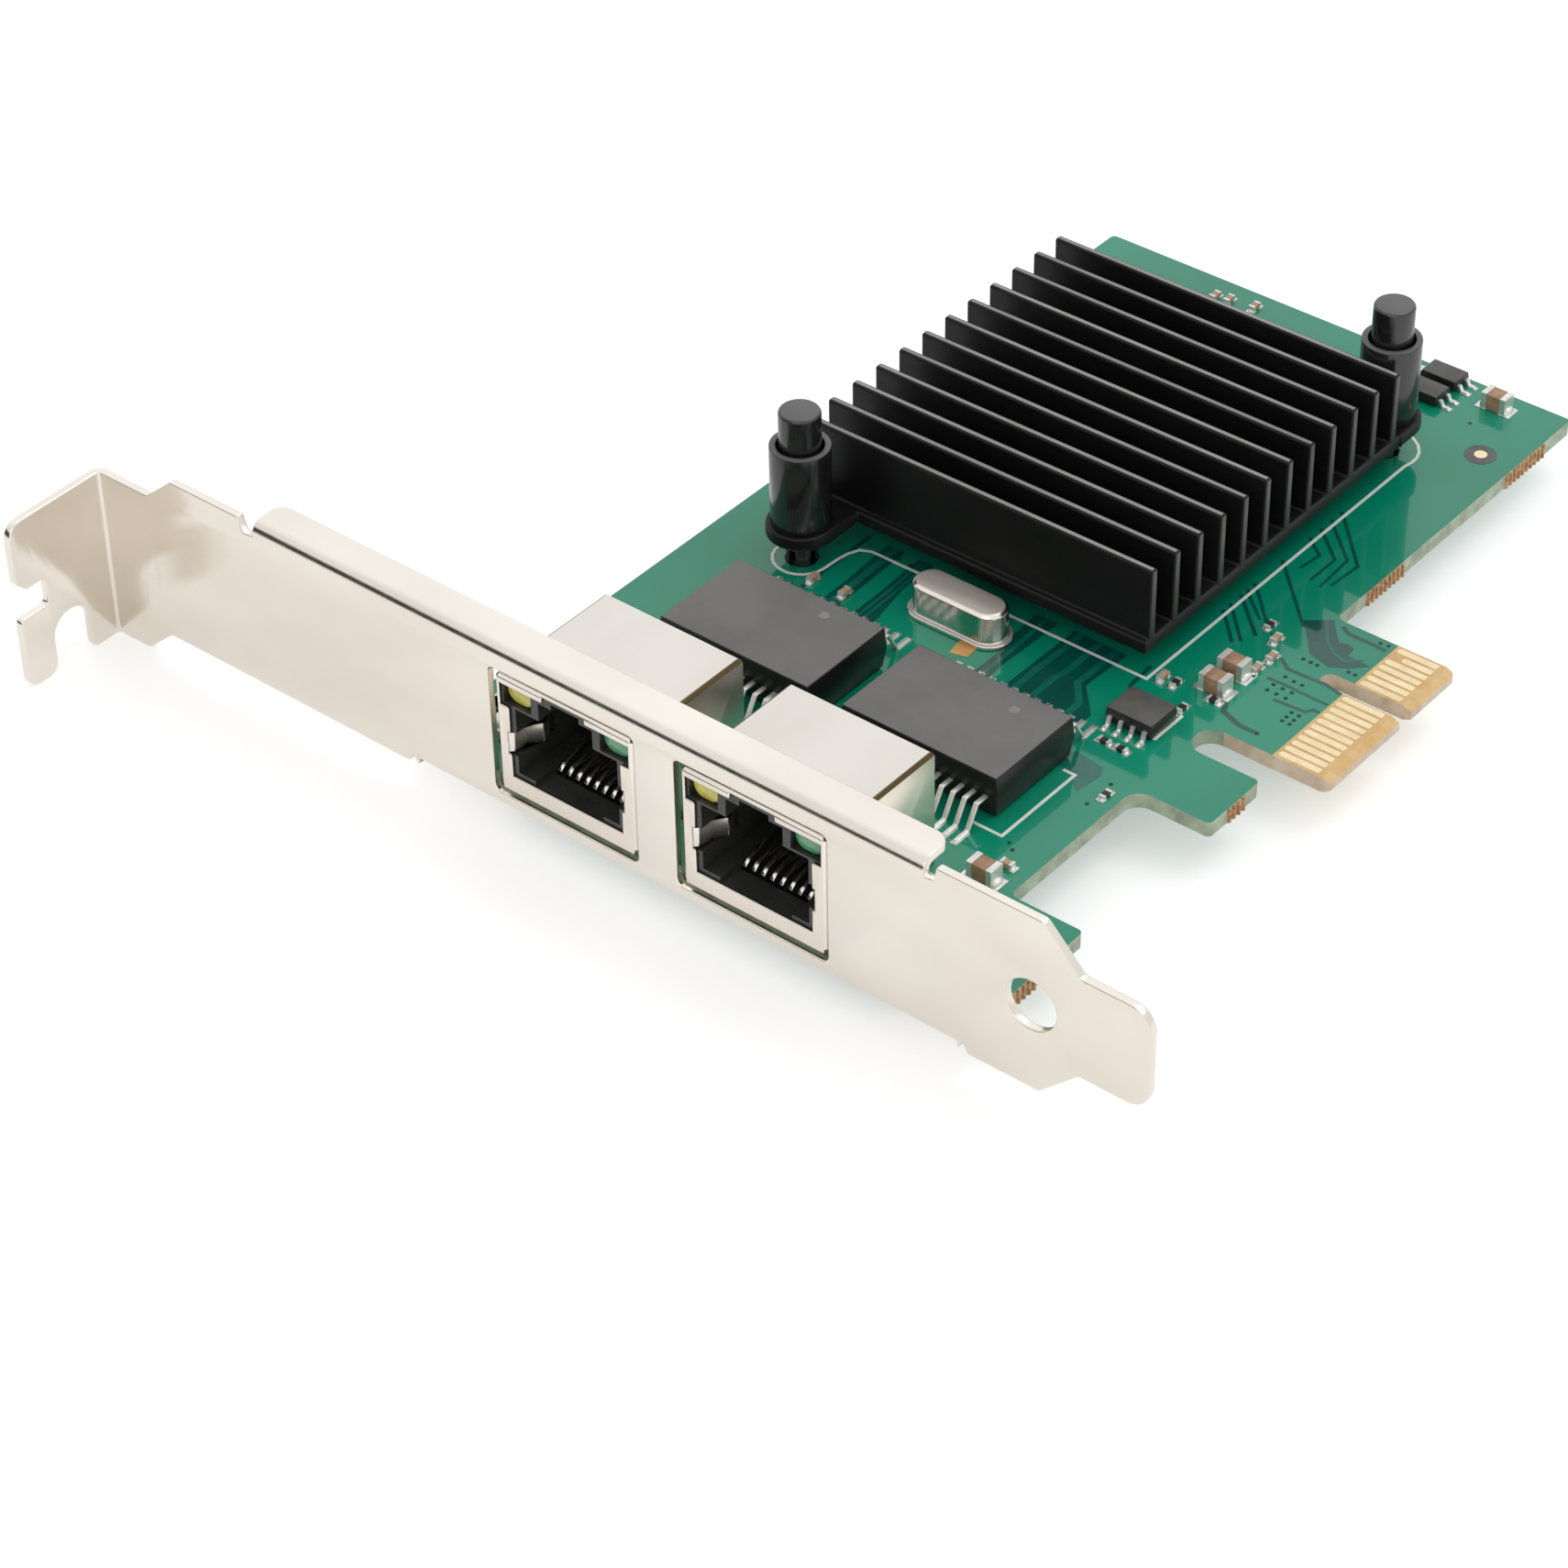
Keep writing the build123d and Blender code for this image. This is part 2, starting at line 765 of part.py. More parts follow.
def memory_body():
    bottom = board_top + memory_gap
    return Pos(memory_x, memory_y, 0) * drafted_body(
        memory_length, memory_width, bottom, bottom + memory_height / 2, bottom + memory_height, memory_draft)


def memory_lead_rows():
    waist = board_top + memory_gap + memory_height / 2
    side = (memory_width + memory_draft) / 2
    profile = gull_lead(side, waist, memory_shoulder, memory_lead_reach, memory_lead_foot,
                        memory_lead_thickness)
    rows = Compound(lead_rows(memory_leads, lead_pitch, memory_lead_width, profile))
    return Pos(memory_x, memory_y, 0) * rows


def regulator_bodies():
    bottom = board_top + regulator_gap
    bodies = []
    for x, y in regulator_places:
        body = drafted_body(regulator_length, regulator_width, bottom, bottom + regulator_height / 2,
                            bottom + regulator_height, memory_draft)
        bodies.append((Pos(x, y, 0) * body).solid())
    return Compound(bodies)


def regulator_lead_set():
    # Two narrow leads towards the connector edge and one wide tab on the other end
    waist = board_top + regulator_gap + regulator_height / 2
    side = (regulator_length + memory_draft) / 2
    profile = gull_lead(side, waist, memory_shoulder, memory_lead_reach, memory_lead_foot,
                        memory_lead_thickness)
    leads = []
    for x, y in regulator_places:
        for n in range(regulator_leads):
            middle = (n - (regulator_leads - 1) / 2) * regulator_lead_pitch
            lead = along_x(profile, middle - memory_lead_width / 2, middle + memory_lead_width / 2)
            leads.append((Pos(x, y, 0) * Rot(0, 0, -90) * lead).solid())
        tab = along_x(profile, -regulator_tab_width / 2, regulator_tab_width / 2)
        leads.append((Pos(x, y, 0) * Rot(0, 0, 90) * tab).solid())
    return Compound(leads)


# Controller, heat sink and the pins that press them together

def controller_chip():
    half = chip_side / 2
    body = block(-half, half, -half, half, board_top, board_top + chip_step)
    inner = half - chip_rim
    body += block(-inner, inner, -inner, inner, board_top, board_top + chip_height)
    return Pos(chip_x, chip_y, 0) * body


def heat_pad():
    half = chip_side / 2 - chip_rim
    top = board_top + chip_height
    return Pos(chip_x, chip_y, 0) * block(-half, half, -half, half, top, top + thermal_pad)


def heat_sink():
    # One extrusion: a comb seen along X, then the two pin ears and their holes
    stack = (fin_count - 1) * fin_pitch + fin_thickness
    first = (sink_front + sink_back - stack) / 2
    crown = sink_seat + fin_height
    comb = [(sink_front, sink_bottom), (sink_front, sink_seat)]
    for n in range(fin_count):
        y = first + n * fin_pitch
        comb += [(y, sink_seat), (y, crown), (y + fin_thickness, crown), (y + fin_thickness, sink_seat)]
    comb += [(sink_back, sink_seat), (sink_back, sink_bottom)]
    body = along_x(sharp(comb), sink_left, sink_right)
    for (x, y), edge in zip(pin_places, (sink_front, sink_back)):
        body += rod(x, y, sink_bottom, sink_seat, 2 * ear_radius)
        body += block(x - ear_radius, x + ear_radius, min(y, edge), max(y, edge), sink_bottom, sink_seat)
    for x, y in pin_places:
        body -= bar(x, y, sink_bottom - past, sink_seat + past, pin_hole, peg_side_count)
    return body


def pin_sleeve():
    # A hollow barrel on the ear, and a split shank through the ear and the board whose barb
    # catches under the board
    shank = pin_hole - 2 * pin_clearance
    catch = board_bottom - barb_gap
    top = sink_seat + sleeve_height
    tip = catch - barb_height
    floor = top - sleeve_bore_depth
    body = rod(0, 0, sink_seat, top, sleeve) - rod(0, 0, floor, top + past, sleeve - 2 * sleeve_wall)
    body += bar(0, 0, catch - lap, sink_seat + lap, shank, peg_side_count)
    body += loft([
        Pos(0, 0, tip) * RegularPolygon(barb_tip / 2, peg_side_count),
        Pos(0, 0, catch) * RegularPolygon(barb / 2, peg_side_count),
    ])
    body -= bar(0, 0, tip - past, floor + lap, stem + 2 * plunger_gap, peg_side_count)
    half = shank_slit / 2
    slit_top = (board_top + sink_bottom) / 2
    for a, b in ((barb, half), (half, barb)):
        body -= block(-a, a, -b, b, tip - past, slit_top)
    return body


def pin_plunger():
    # The cap that is pressed, and the stem that spreads the shank
    top = sink_seat + sleeve_height
    bore = sleeve / 2 - sleeve_wall
    cap = bore - cap_gap
    crown = top + plunger_rise
    low = top - sleeve_bore_depth + plunger_gap
    body = rod(0, 0, low, crown, 2 * cap)
    body = chamfer(body.faces().sort_by(Axis.Z)[-1].edges(), plunger_rim)
    return body + bar(0, 0, board_bottom - barb_gap - barb_height, low + lap, stem, peg_side_count)


# Small parts

def rounded_bar(length, width, z0, z1):
    return along_z(SlotOverall(length, width), z0, z1)


def crystal_can():
    top = board_top + crystal_height
    body = rounded_bar(crystal_length, crystal_width, board_top, top)
    body = chamfer(body.faces().sort_by(Axis.Z)[-1].edges(), crystal_round)
    body += rounded_bar(crystal_length + 2 * crystal_rim, crystal_width + 2 * crystal_rim,
                        board_top, board_top + crystal_base)
    return Pos(crystal_x, crystal_y, 0) * body


def crystal_leads():
    leads = []
    for s in (-1, 1):
        x = crystal_x + s * crystal_lead_pitch / 2
        lead = bar(x, crystal_y, board_top - crystal_lead_length, board_top, crystal_lead, small_side_count)
        leads.append(lead.solid())
    return Compound(leads)


def chip_parts(size, places, ends):
    # The bodies or the metal ends of a set of chip capacitors or resistors
    length, width, height = size
    cap = length * end_share
    shapes = []
    for x, y, way in places:
        turn = Rot(0, 0, 0 if way == "x" else 90)
        if ends:
            for s in (-1, 1):
                far = s * length / 2
                near = far - s * cap
                piece = block(min(near, far), max(near, far), -width / 2, width / 2,
                              board_top, board_top + height)
                shapes.append((Pos(x, y, 0) * turn * piece).solid())
        else:
            reach = length / 2 - cap
            piece = block(-reach, reach, part_skin - width / 2, width / 2 - part_skin,
                          board_top + part_skin, board_top + height - part_skin)
            shapes.append((Pos(x, y, 0) * turn * piece).solid())
    return Compound(shapes)


# Write every piece, shifted so that the origin is the middle of the underside

origin_shift = (-bracket_length / 2, (tab_depth - board_back) / 2, strip_drop)

os.makedirs("parts", exist_ok=True)

save("mounting_bracket", mounting_bracket())
save("bracket_screws", bracket_screws())
save("circuit_board", circuit_board())
save("edge_contacts", edge_contacts())

sides = ("left", "right")
shield = jack_shield()
housing = jack_housing()
contacts = jack_contacts()
for i, side in enumerate(sides):
    place = Pos(first_socket + i * window_pitch, 0, 0)
    save(side + "_socket_shield", place * shield)
    save(side + "_socket_housing", place * housing)
    save(side + "_socket_contacts", place * contacts)
    save(side + "_yellow_light", place * light_block(-1, 0))
    save(side + "_green_light", place * light_block(1, 0))
    behind = Pos(first_socket + i * window_pitch, transformer_y, 0)
    save(side + "_transformer_body", behind * transformer_body())
    save(side + "_transformer_leads", behind * transformer_lead_rows())

save("controller_chip", controller_chip())
save("thermal_pad", heat_pad())
save("heat_sink", heat_sink())
for name, (x, y) in zip(("front", "rear"), pin_places):
    save(name + "_pin_sleeve", Pos(x, y, 0) * pin_sleeve())
    save(name + "_pin_plunger", Pos(x, y, 0) * pin_plunger())

save("crystal_can", crystal_can())
save("crystal_leads", crystal_leads())
save("memory_chip_body", memory_body())
save("memory_chip_leads", memory_lead_rows())
save("regulator_bodies", regulator_bodies())
save("regulator_leads", regulator_lead_set())

chip_sets = (
    ("large_capacitor", large_capacitor, large_capacitor_places),
    ("small_capacitor", small_capacitor, small_capacitor_places),
    ("small_resistor", small_resistor, small_resistor_places),
)
for name, size, places in chip_sets:
    save(name + "_bodies", chip_parts(size, places, False))
    save(name + "_ends", chip_parts(size, places, True))
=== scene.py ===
import math

import bmesh
import bpy
from mathutils import Matrix, Vector


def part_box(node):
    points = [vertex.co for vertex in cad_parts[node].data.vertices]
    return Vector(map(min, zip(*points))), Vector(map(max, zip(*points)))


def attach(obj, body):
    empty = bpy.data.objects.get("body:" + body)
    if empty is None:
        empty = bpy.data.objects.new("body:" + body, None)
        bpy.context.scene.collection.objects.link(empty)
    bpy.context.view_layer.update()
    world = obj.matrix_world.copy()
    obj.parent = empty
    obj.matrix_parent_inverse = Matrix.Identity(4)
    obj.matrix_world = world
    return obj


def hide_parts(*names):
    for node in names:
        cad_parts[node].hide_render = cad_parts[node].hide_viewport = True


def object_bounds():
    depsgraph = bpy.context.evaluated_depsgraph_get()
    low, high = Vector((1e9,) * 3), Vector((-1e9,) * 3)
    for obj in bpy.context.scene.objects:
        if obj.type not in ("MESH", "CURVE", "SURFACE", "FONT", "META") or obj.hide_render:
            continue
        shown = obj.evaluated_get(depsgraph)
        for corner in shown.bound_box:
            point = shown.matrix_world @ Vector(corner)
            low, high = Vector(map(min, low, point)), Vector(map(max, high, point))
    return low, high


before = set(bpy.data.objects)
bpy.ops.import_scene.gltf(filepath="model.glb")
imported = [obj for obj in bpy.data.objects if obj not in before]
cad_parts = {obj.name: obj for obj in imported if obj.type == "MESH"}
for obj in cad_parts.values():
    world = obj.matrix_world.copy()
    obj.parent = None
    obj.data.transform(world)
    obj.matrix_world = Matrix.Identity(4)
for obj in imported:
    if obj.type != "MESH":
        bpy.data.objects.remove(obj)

cadLow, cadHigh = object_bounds()
scene = bpy.context.scene
mm = 0.001

# The card's own drawing, in mm: X from the bracket's left end, Y from the front of the sockets
# and Z from the top of the board
card = {
    "left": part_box("mounting_bracket")[0].x,
    "front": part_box("left_socket_shield")[0].y,
    "top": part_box("controller_chip")[0].z,
    "bottom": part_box("circuit_board")[0].z,
}


def cardPoint(x, y, z=0.0):
    return Vector((card["left"] + x * mm, card["front"] + y * mm, card["top"] + z * mm))


def toCard(point):
    origin = Vector((card["left"], card["front"], card["top"]))
    return (Vector(point) - origin) / mm


def cardBox(node):
    # A node's box in the drawing's millimetres
    low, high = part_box(node)
    return toCard(low), toCard(high)


def nodeMiddle(node):
    # The middle of a node's box, seen from above
    return [(low + high) / 2 for low, high in zip(*cardBox(node))][:2]


# Finishes

def startMaterial(name):
    material = bpy.data.materials.new(name)
    material.use_nodes = True
    tree = material.node_tree
    return material, tree.nodes, tree.links, tree.nodes["Principled BSDF"]


def objectCoords(nodes, links, stretch=(1, 1, 1)):
    coords = nodes.new("ShaderNodeTexCoord")
    mapping = nodes.new("ShaderNodeMapping")
    mapping.inputs["Scale"].default_value = stretch
    links.new(coords.outputs["Object"], mapping.inputs["Vector"])
    return mapping.outputs["Vector"]


def noise(nodes, links, vector, scale, detail=3.0, rough=0.55):
    texture = nodes.new("ShaderNodeTexNoise")
    texture.inputs["Scale"].default_value = scale
    texture.inputs["Detail"].default_value = detail
    texture.inputs["Roughness"].default_value = rough
    links.new(vector, texture.inputs["Vector"])
    return texture.outputs["Fac"]


def remap(nodes, links, value, low, high, toLow, toHigh):
    ranger = nodes.new("ShaderNodeMapRange")
    ranger.inputs["From Min"].default_value = low
    ranger.inputs["From Max"].default_value = high
    ranger.inputs["To Min"].default_value = toLow
    ranger.inputs["To Max"].default_value = toHigh
    links.new(value, ranger.inputs["Value"])
    return ranger.outputs["Result"]


def mixColours(nodes, links, factor, first, second):
    # Each colour is a tuple or the socket of another node
    mix = nodes.new("ShaderNodeMix")
    mix.data_type = "RGBA"
    links.new(factor, mix.inputs[0])
    for socket, colour in ((mix.inputs[6], first), (mix.inputs[7], second)):
        if isinstance(colour, tuple):
            socket.default_value = (*colour, 1.0)
        else:
            links.new(colour, socket)
    return mix.outputs[2]


def maths(nodes, links, kind, first, second):
    node = nodes.new("ShaderNodeMath")
    node.operation = kind
    for socket, value in zip(node.inputs, (first, second)):
        if isinstance(value, (int, float)):
            socket.default_value = value
        else:
            links.new(value, socket)
    return node.outputs[0]


def blend(nodes, links, factor, first, second):
    # Mixes a value with a fixed number
    mix = nodes.new("ShaderNodeMix")
    links.new(factor, mix.inputs[0])
    links.new(first, mix.inputs[2])
    mix.inputs[3].default_value = second
    return mix.outputs[0]


def addBump(nodes, links, shader, height, strength, distance):
    bump = nodes.new("ShaderNodeBump")
    bump.inputs["Strength"].default_value = strength
    bump.inputs["Distance"].default_value = distance
    links.new(height, bump.inputs["Height"])
    links.new(bump.outputs["Normal"], shader.inputs["Normal"])


def separate(nodes, links, vector):
    split = nodes.new("ShaderNodeSeparateXYZ")
    links.new(vector, split.inputs[0])
    return split.outputs


def facing(nodes, links, axis):
    # How squarely the surface looks along an axis, either way: 0 for X, 1 for Y and 2 for Z
    geometry = nodes.new("ShaderNodeNewGeometry")
    normal = separate(nodes, links, geometry.outputs["Normal"])
    return maths(nodes, links, "ABSOLUTE", normal[axis], 0)


def heightStep(nodes, links, low, high):
    # 0 below the first height and 1 above the second, both in mm above the board
    height = separate(nodes, links, objectCoords(nodes, links))[2]
    return remap(nodes, links, height, cardPoint(0, 0, low).z, cardPoint(0, 0, high).z, 0, 1)


# The spans of noise that the tones and the roughness follow, the tilts at which a face takes its painted
# lit or shaded tones, the tilts on a bend's painted dark line, and what a finish has unless its
# dictionary says otherwise
surface = {
    "patchSpan": (0.35, 0.65), "grainSpan": (0.3, 0.7), "tilt": (0.8, 0.95), "paintedFoldSpan": (0.12, 0.3),
    "bumpDepth": 0.02 * mm, "shine": 0.5, "coatRough": 0.06,
}


def makeFinish(name, look):
    # Two close tones in broad patches, a grain in the roughness and a fine bump; where a look asks for
    # them, painted light and shade too: lighter or darker tones by the way a face looks, and a painted
    # dark line on rounded bends
    material, nodes, links, shader = startMaterial(name)
    vector = objectCoords(nodes, links, look.get("stretch", (1, 1, 1)))
    patches = noise(nodes, links, vector, look["patchScale"])
    spread = remap(nodes, links, patches, *surface["patchSpan"], 0.0, 1.0)
    grain = noise(nodes, links, vector, look["grainScale"])
    colour = mixColours(nodes, links, spread, look["dark"], look["light"])
    rough = remap(nodes, links, grain, *surface["grainSpan"], look["smooth"], look["rough"])
    for key, axis in (("top", 2), ("end", 0), ("front", 1)):
        # Painted light and shade: level faces and those that look along or across the card may take
        # lighter or darker tones, as light would fall on them
        if key in look:
            own = look[key]
            tilt = own.get("tilt", surface["tilt"])
            part = remap(nodes, links, facing(nodes, links, axis), *tilt, 0.0, 1.0)
            if "above" in own:
                part = maths(nodes, links, "MULTIPLY", part, heightStep(nodes, links, *own["above"]))
            paintedLightTone = mixColours(nodes, links, spread, own["dark"], own["light"])
            colour = mixColours(nodes, links, part, colour, paintedLightTone)
            rough = blend(nodes, links, part, rough, own["rough"])
    if "paintedFoldLine" in look:
        # A painted dark line, standing in for a dark reflection, on the rounded edge between a top and a
        # side
        both = maths(nodes, links, "MULTIPLY", facing(nodes, links, 0), facing(nodes, links, 2))
        edge = remap(nodes, links, both, *surface["paintedFoldSpan"], 0.0, 1.0)
        colour = mixColours(nodes, links, edge, colour, look["paintedFoldLine"])
    links.new(colour, shader.inputs["Base Color"])
    links.new(rough, shader.inputs["Roughness"])
    addBump(nodes, links, shader, grain, look["bump"], look.get("bumpDepth", surface["bumpDepth"]))
    shader.inputs["Metallic"].default_value = look.get("metal", 0.0)
    shader.inputs["Specular IOR Level"].default_value = look.get("shine", surface["shine"])
    shader.inputs["Coat Weight"].default_value = look.get("coat", 0.0)
    shader.inputs["Coat Roughness"].default_value = look.get("coatRough", surface["coatRough"])
    return material


sinkTop = cardBox("heat_sink")[1].z
finishes = {
    "bracketNickel": {
        "dark": (0.725, 0.67, 0.597), "light": (0.795, 0.743, 0.672), "metal": 1.0, "patchScale": 75,
        "grainScale": 1500, "smooth": 0.17, "rough": 0.22, "bump": 0.01, "stretch": (0.5, 1, 1),
        # Painted highlight: level faces, such as the lip's top, take a lighter copy of the nickel
        "top": {"dark": (0.87, 0.82, 0.75), "light": (0.95, 0.90, 0.83), "rough": 0.26},
    },
    "screwNickel": {
        "dark": (0.62, 0.60, 0.56), "light": (0.74, 0.72, 0.68), "metal": 1.0, "patchScale": 400,
        "grainScale": 2000, "smooth": 0.2, "rough": 0.3, "bump": 0.03,
    },
    "shieldNickel": {
        "dark": (0.755, 0.715, 0.66), "light": (0.82, 0.78, 0.725), "metal": 1.0, "patchScale": 90,
        "grainScale": 1400, "smooth": 0.15, "rough": 0.2, "bump": 0.012, "stretch": (1, 0.4, 1),
        # Painted light and shade: sides that look along the card lighter, the front darker, and a painted
        # dark line on the bends
        "end": {"dark": (0.86, 0.77, 0.67), "light": (0.95, 0.86, 0.75), "rough": 0.3},
        "front": {"dark": (0.70, 0.635, 0.56), "light": (0.78, 0.71, 0.63), "rough": 0.24},
        "paintedFoldLine": (0.10, 0.075, 0.035),
    },
    "sinkBlack": {
        "dark": (0.004, 0.004, 0.004), "light": (0.008, 0.008, 0.008), "patchScale": 110,
        "grainScale": 1500, "smooth": 0.34, "rough": 0.46, "bump": 0.06, "shine": 0.22,
        "stretch": (0.25, 1, 1),
        # Painted highlights: the fins' level tops light grey near the top, and their upright ends lighter
        # towards the top
        "top": {"dark": (0.24, 0.235, 0.228), "light": (0.36, 0.352, 0.342), "rough": 0.5,
                "above": (sinkTop - 1, sinkTop - 0.6), "tilt": (0.97, 0.995)},
        "end": {"dark": (0.09, 0.09, 0.088), "light": (0.135, 0.135, 0.13), "rough": 0.5,
                "above": (sinkTop - 9, sinkTop - 2)},
    },
    "pinBlack": {
        "dark": (0.010, 0.010, 0.010), "light": (0.016, 0.016, 0.016), "patchScale": 260,
        "grainScale": 1800, "smooth": 0.15, "rough": 0.22, "bump": 0.03, "shine": 0.75,
        # Painted highlight: level tops lighter than the glossy black sides
        "top": {"dark": (0.09, 0.09, 0.09), "light": (0.115, 0.115, 0.115), "rough": 0.5},
    },
    "transformerBlack": {
        "dark": (0.006, 0.006, 0.006), "light": (0.011, 0.011, 0.011), "patchScale": 240,
        "grainScale": 4200, "smooth": 0.28, "rough": 0.38, "bump": 0.1, "shine": 0.35,
        # Painted light: the level top much lighter than the black sides
        "top": {"dark": (0.168, 0.164, 0.158), "light": (0.192, 0.187, 0.18), "rough": 0.6},
    },
    "chipBlack": {
        "dark": (0.010, 0.010, 0.010), "light": (0.018, 0.018, 0.018), "patchScale": 400,
        "grainScale": 5200, "smooth": 0.34, "rough": 0.46, "bump": 0.12,
        # Painted light: the level top lighter than the black sides
        "top": {"dark": (0.078, 0.073, 0.068), "light": (0.112, 0.106, 0.098), "rough": 0.55},
    },
    "housingBlack": {
        "dark": (0.030, 0.030, 0.029), "light": (0.043, 0.043, 0.041), "patchScale": 300,
        "grainScale": 2600, "smooth": 0.26, "rough": 0.36, "bump": 0.06,
    },
    "tinPlate": {
        "dark": (0.72, 0.71, 0.68), "light": (0.88, 0.87, 0.84), "metal": 0.7, "patchScale": 900,
        "grainScale": 3000, "smooth": 0.3, "rough": 0.45, "bump": 0.08,
    },
    "solderedTin": {
        "dark": (0.62, 0.615, 0.59), "light": (0.85, 0.845, 0.82), "metal": 1.0, "patchScale": 1300,
        "grainScale": 2400, "smooth": 0.24, "rough": 0.42, "bump": 0.3, "bumpDepth": 0.05 * mm,
    },
    "goldPlate": {
        "dark": (0.86, 0.70, 0.43), "light": (0.95, 0.81, 0.55), "metal": 1.0, "patchScale": 500,
        "grainScale": 900, "smooth": 0.2, "rough": 0.28, "bump": 0.01,
    },
    "wireSilver": {
        "dark": (0.66, 0.64, 0.60), "light": (0.88, 0.86, 0.82), "metal": 1.0, "patchScale": 900,
        "grainScale": 2000, "smooth": 0.12, "rough": 0.2, "bump": 0.02,
    },
    "canNickel": {
        "dark": (0.68, 0.64, 0.58), "light": (0.84, 0.79, 0.72), "metal": 1.0, "patchScale": 420,
        "grainScale": 1600, "smooth": 0.16, "rough": 0.24, "bump": 0.02, "stretch": (0.35, 1, 1),
        # Painted shade: the can's level top darker than its sides
        "top": {"dark": (0.50, 0.465, 0.42), "light": (0.60, 0.56, 0.51), "rough": 0.62},
    },
    "ceramicBrown": {
        "dark": (0.33, 0.185, 0.108), "light": (0.45, 0.275, 0.172), "patchScale": 900,
        "grainScale": 4000, "smooth": 0.35, "rough": 0.5, "bump": 0.12,
    },
    "ceramicTan": {
        "dark": (0.46, 0.27, 0.16), "light": (0.58, 0.38, 0.25), "patchScale": 1200,
        "grainScale": 4200, "smooth": 0.35, "rough": 0.5, "bump": 0.12,
    },
    "resistorBlack": {
        "dark": (0.012, 0.012, 0.013), "light": (0.03, 0.03, 0.032), "patchScale": 1200,
        "grainScale": 4200, "smooth": 0.25, "rough": 0.4, "bump": 0.1,
    },
    "padGrey": {
        "dark": (0.24, 0.245, 0.25), "light": (0.33, 0.335, 0.34), "patchScale": 300,
        "grainScale": 2000, "smooth": 0.6, "rough": 0.75, "bump": 0.3,
    },
    "silkWhite": {
        "dark": (0.78, 0.82, 0.75), "light": (0.88, 0.91, 0.84), "patchScale": 1400,
        "grainScale": 3600, "smooth": 0.5, "rough": 0.65, "bump": 0.15,
    },
    "dotGrey": {
        "dark": (0.22, 0.215, 0.205), "light": (0.29, 0.28, 0.27), "patchScale": 1400,
        "grainScale": 3600, "smooth": 0.5, "rough": 0.65, "bump": 0.15,
    },
    "bareCopper": {
        "dark": (0.58, 0.31, 0.10), "light": (0.72, 0.43, 0.16), "metal": 0.4, "patchScale": 700,
        "grainScale": 2000, "smooth": 0.3, "rough": 0.42, "bump": 0.05,
    },
    "gapGreen": {
        "dark": (0.001, 0.070, 0.056), "light": (0.002, 0.105, 0.082), "patchScale": 160,
        "grainScale": 2400, "smooth": 0.2, "rough": 0.26, "bump": 0.02, "coat": 1.0, "shine": 0.12,
        "coatRough": 0.045,
    },
    "traceGreen": {
        "dark": (0.004, 0.135, 0.098), "light": (0.008, 0.175, 0.125), "patchScale": 300,
        "grainScale": 2400, "smooth": 0.2, "rough": 0.26, "bump": 0.02, "coat": 1.0, "shine": 0.12,
        "coatRough": 0.045,
    },
    "viaDark": {
        "dark": (0.001, 0.022, 0.017), "light": (0.002, 0.04, 0.032), "patchScale": 900,
        "grainScale": 3000, "smooth": 0.3, "rough": 0.45, "bump": 0.1,
    },
    "resinGrey": {
        "dark": (0.075, 0.085, 0.08), "light": (0.12, 0.13, 0.122), "patchScale": 900,
        "grainScale": 3000, "smooth": 0.3, "rough": 0.45, "bump": 0.1,
    },
}

made = {name: makeFinish(name, look) for name, look in finishes.items()}
print("finishes made:", len(made))

boardLook = {
    "maskDark": (0.001, 0.235, 0.138), "maskLight": (0.003, 0.285, 0.168), "patchScale": 45,
    "edgeDark": (0.33, 0.38, 0.29), "edgeLight": (0.48, 0.59, 0.43), "edgeScale": 600,
    "tongueDark": (0.64, 0.50, 0.37), "tongueLight": (0.82, 0.69, 0.54), "shine": 0.12,
    "resinDark": (0.70, 0.45, 0.19), "resinLight": (0.82, 0.58, 0.29),
    "stubDark": (0.34, 0.17, 0.07), "stubLight": (0.66, 0.42, 0.22), "stubScale": 2200,
    "grainScale": 2400, "smooth": 0.2, "rough": 0.26, "bump": 0.015, "coatRough": 0.045,
    "faceTilt": 0.3,
}
# Each zone's first and last X and Y
boardZones = {
    "tongue": (96.0, 120.0, 43.5, 67.0), "bareTongue": (101.2, 120.0, 43.5, 67.0),
    "backStubs": (94.43, 95.0, 67.0, 110.0), "hookStubs": (102.43, 103.0, 30.0, 43.0),
    "footStubs": (102.23, 103.0, 0.0, 12.0),
}


def insideZone(nodes, links, place, zone):
    # 1 inside a rectangle given in the drawing's millimetres
    x0, x1, y0, y1 = boardZones[zone]
    tests = [
        maths(nodes, links, "GREATER_THAN", place[0], cardPoint(x0, 0).x),
        maths(nodes, links, "LESS_THAN", place[0], cardPoint(x1, 0).x),
        maths(nodes, links, "GREATER_THAN", place[1], cardPoint(0, y0).y),
        maths(nodes, links, "LESS_THAN", place[1], cardPoint(0, y1).y),
    ]
    while len(tests) > 1:
        tests.append(maths(nodes, links, "MULTIPLY", tests.pop(0), tests.pop(0)))
    return tests[0]


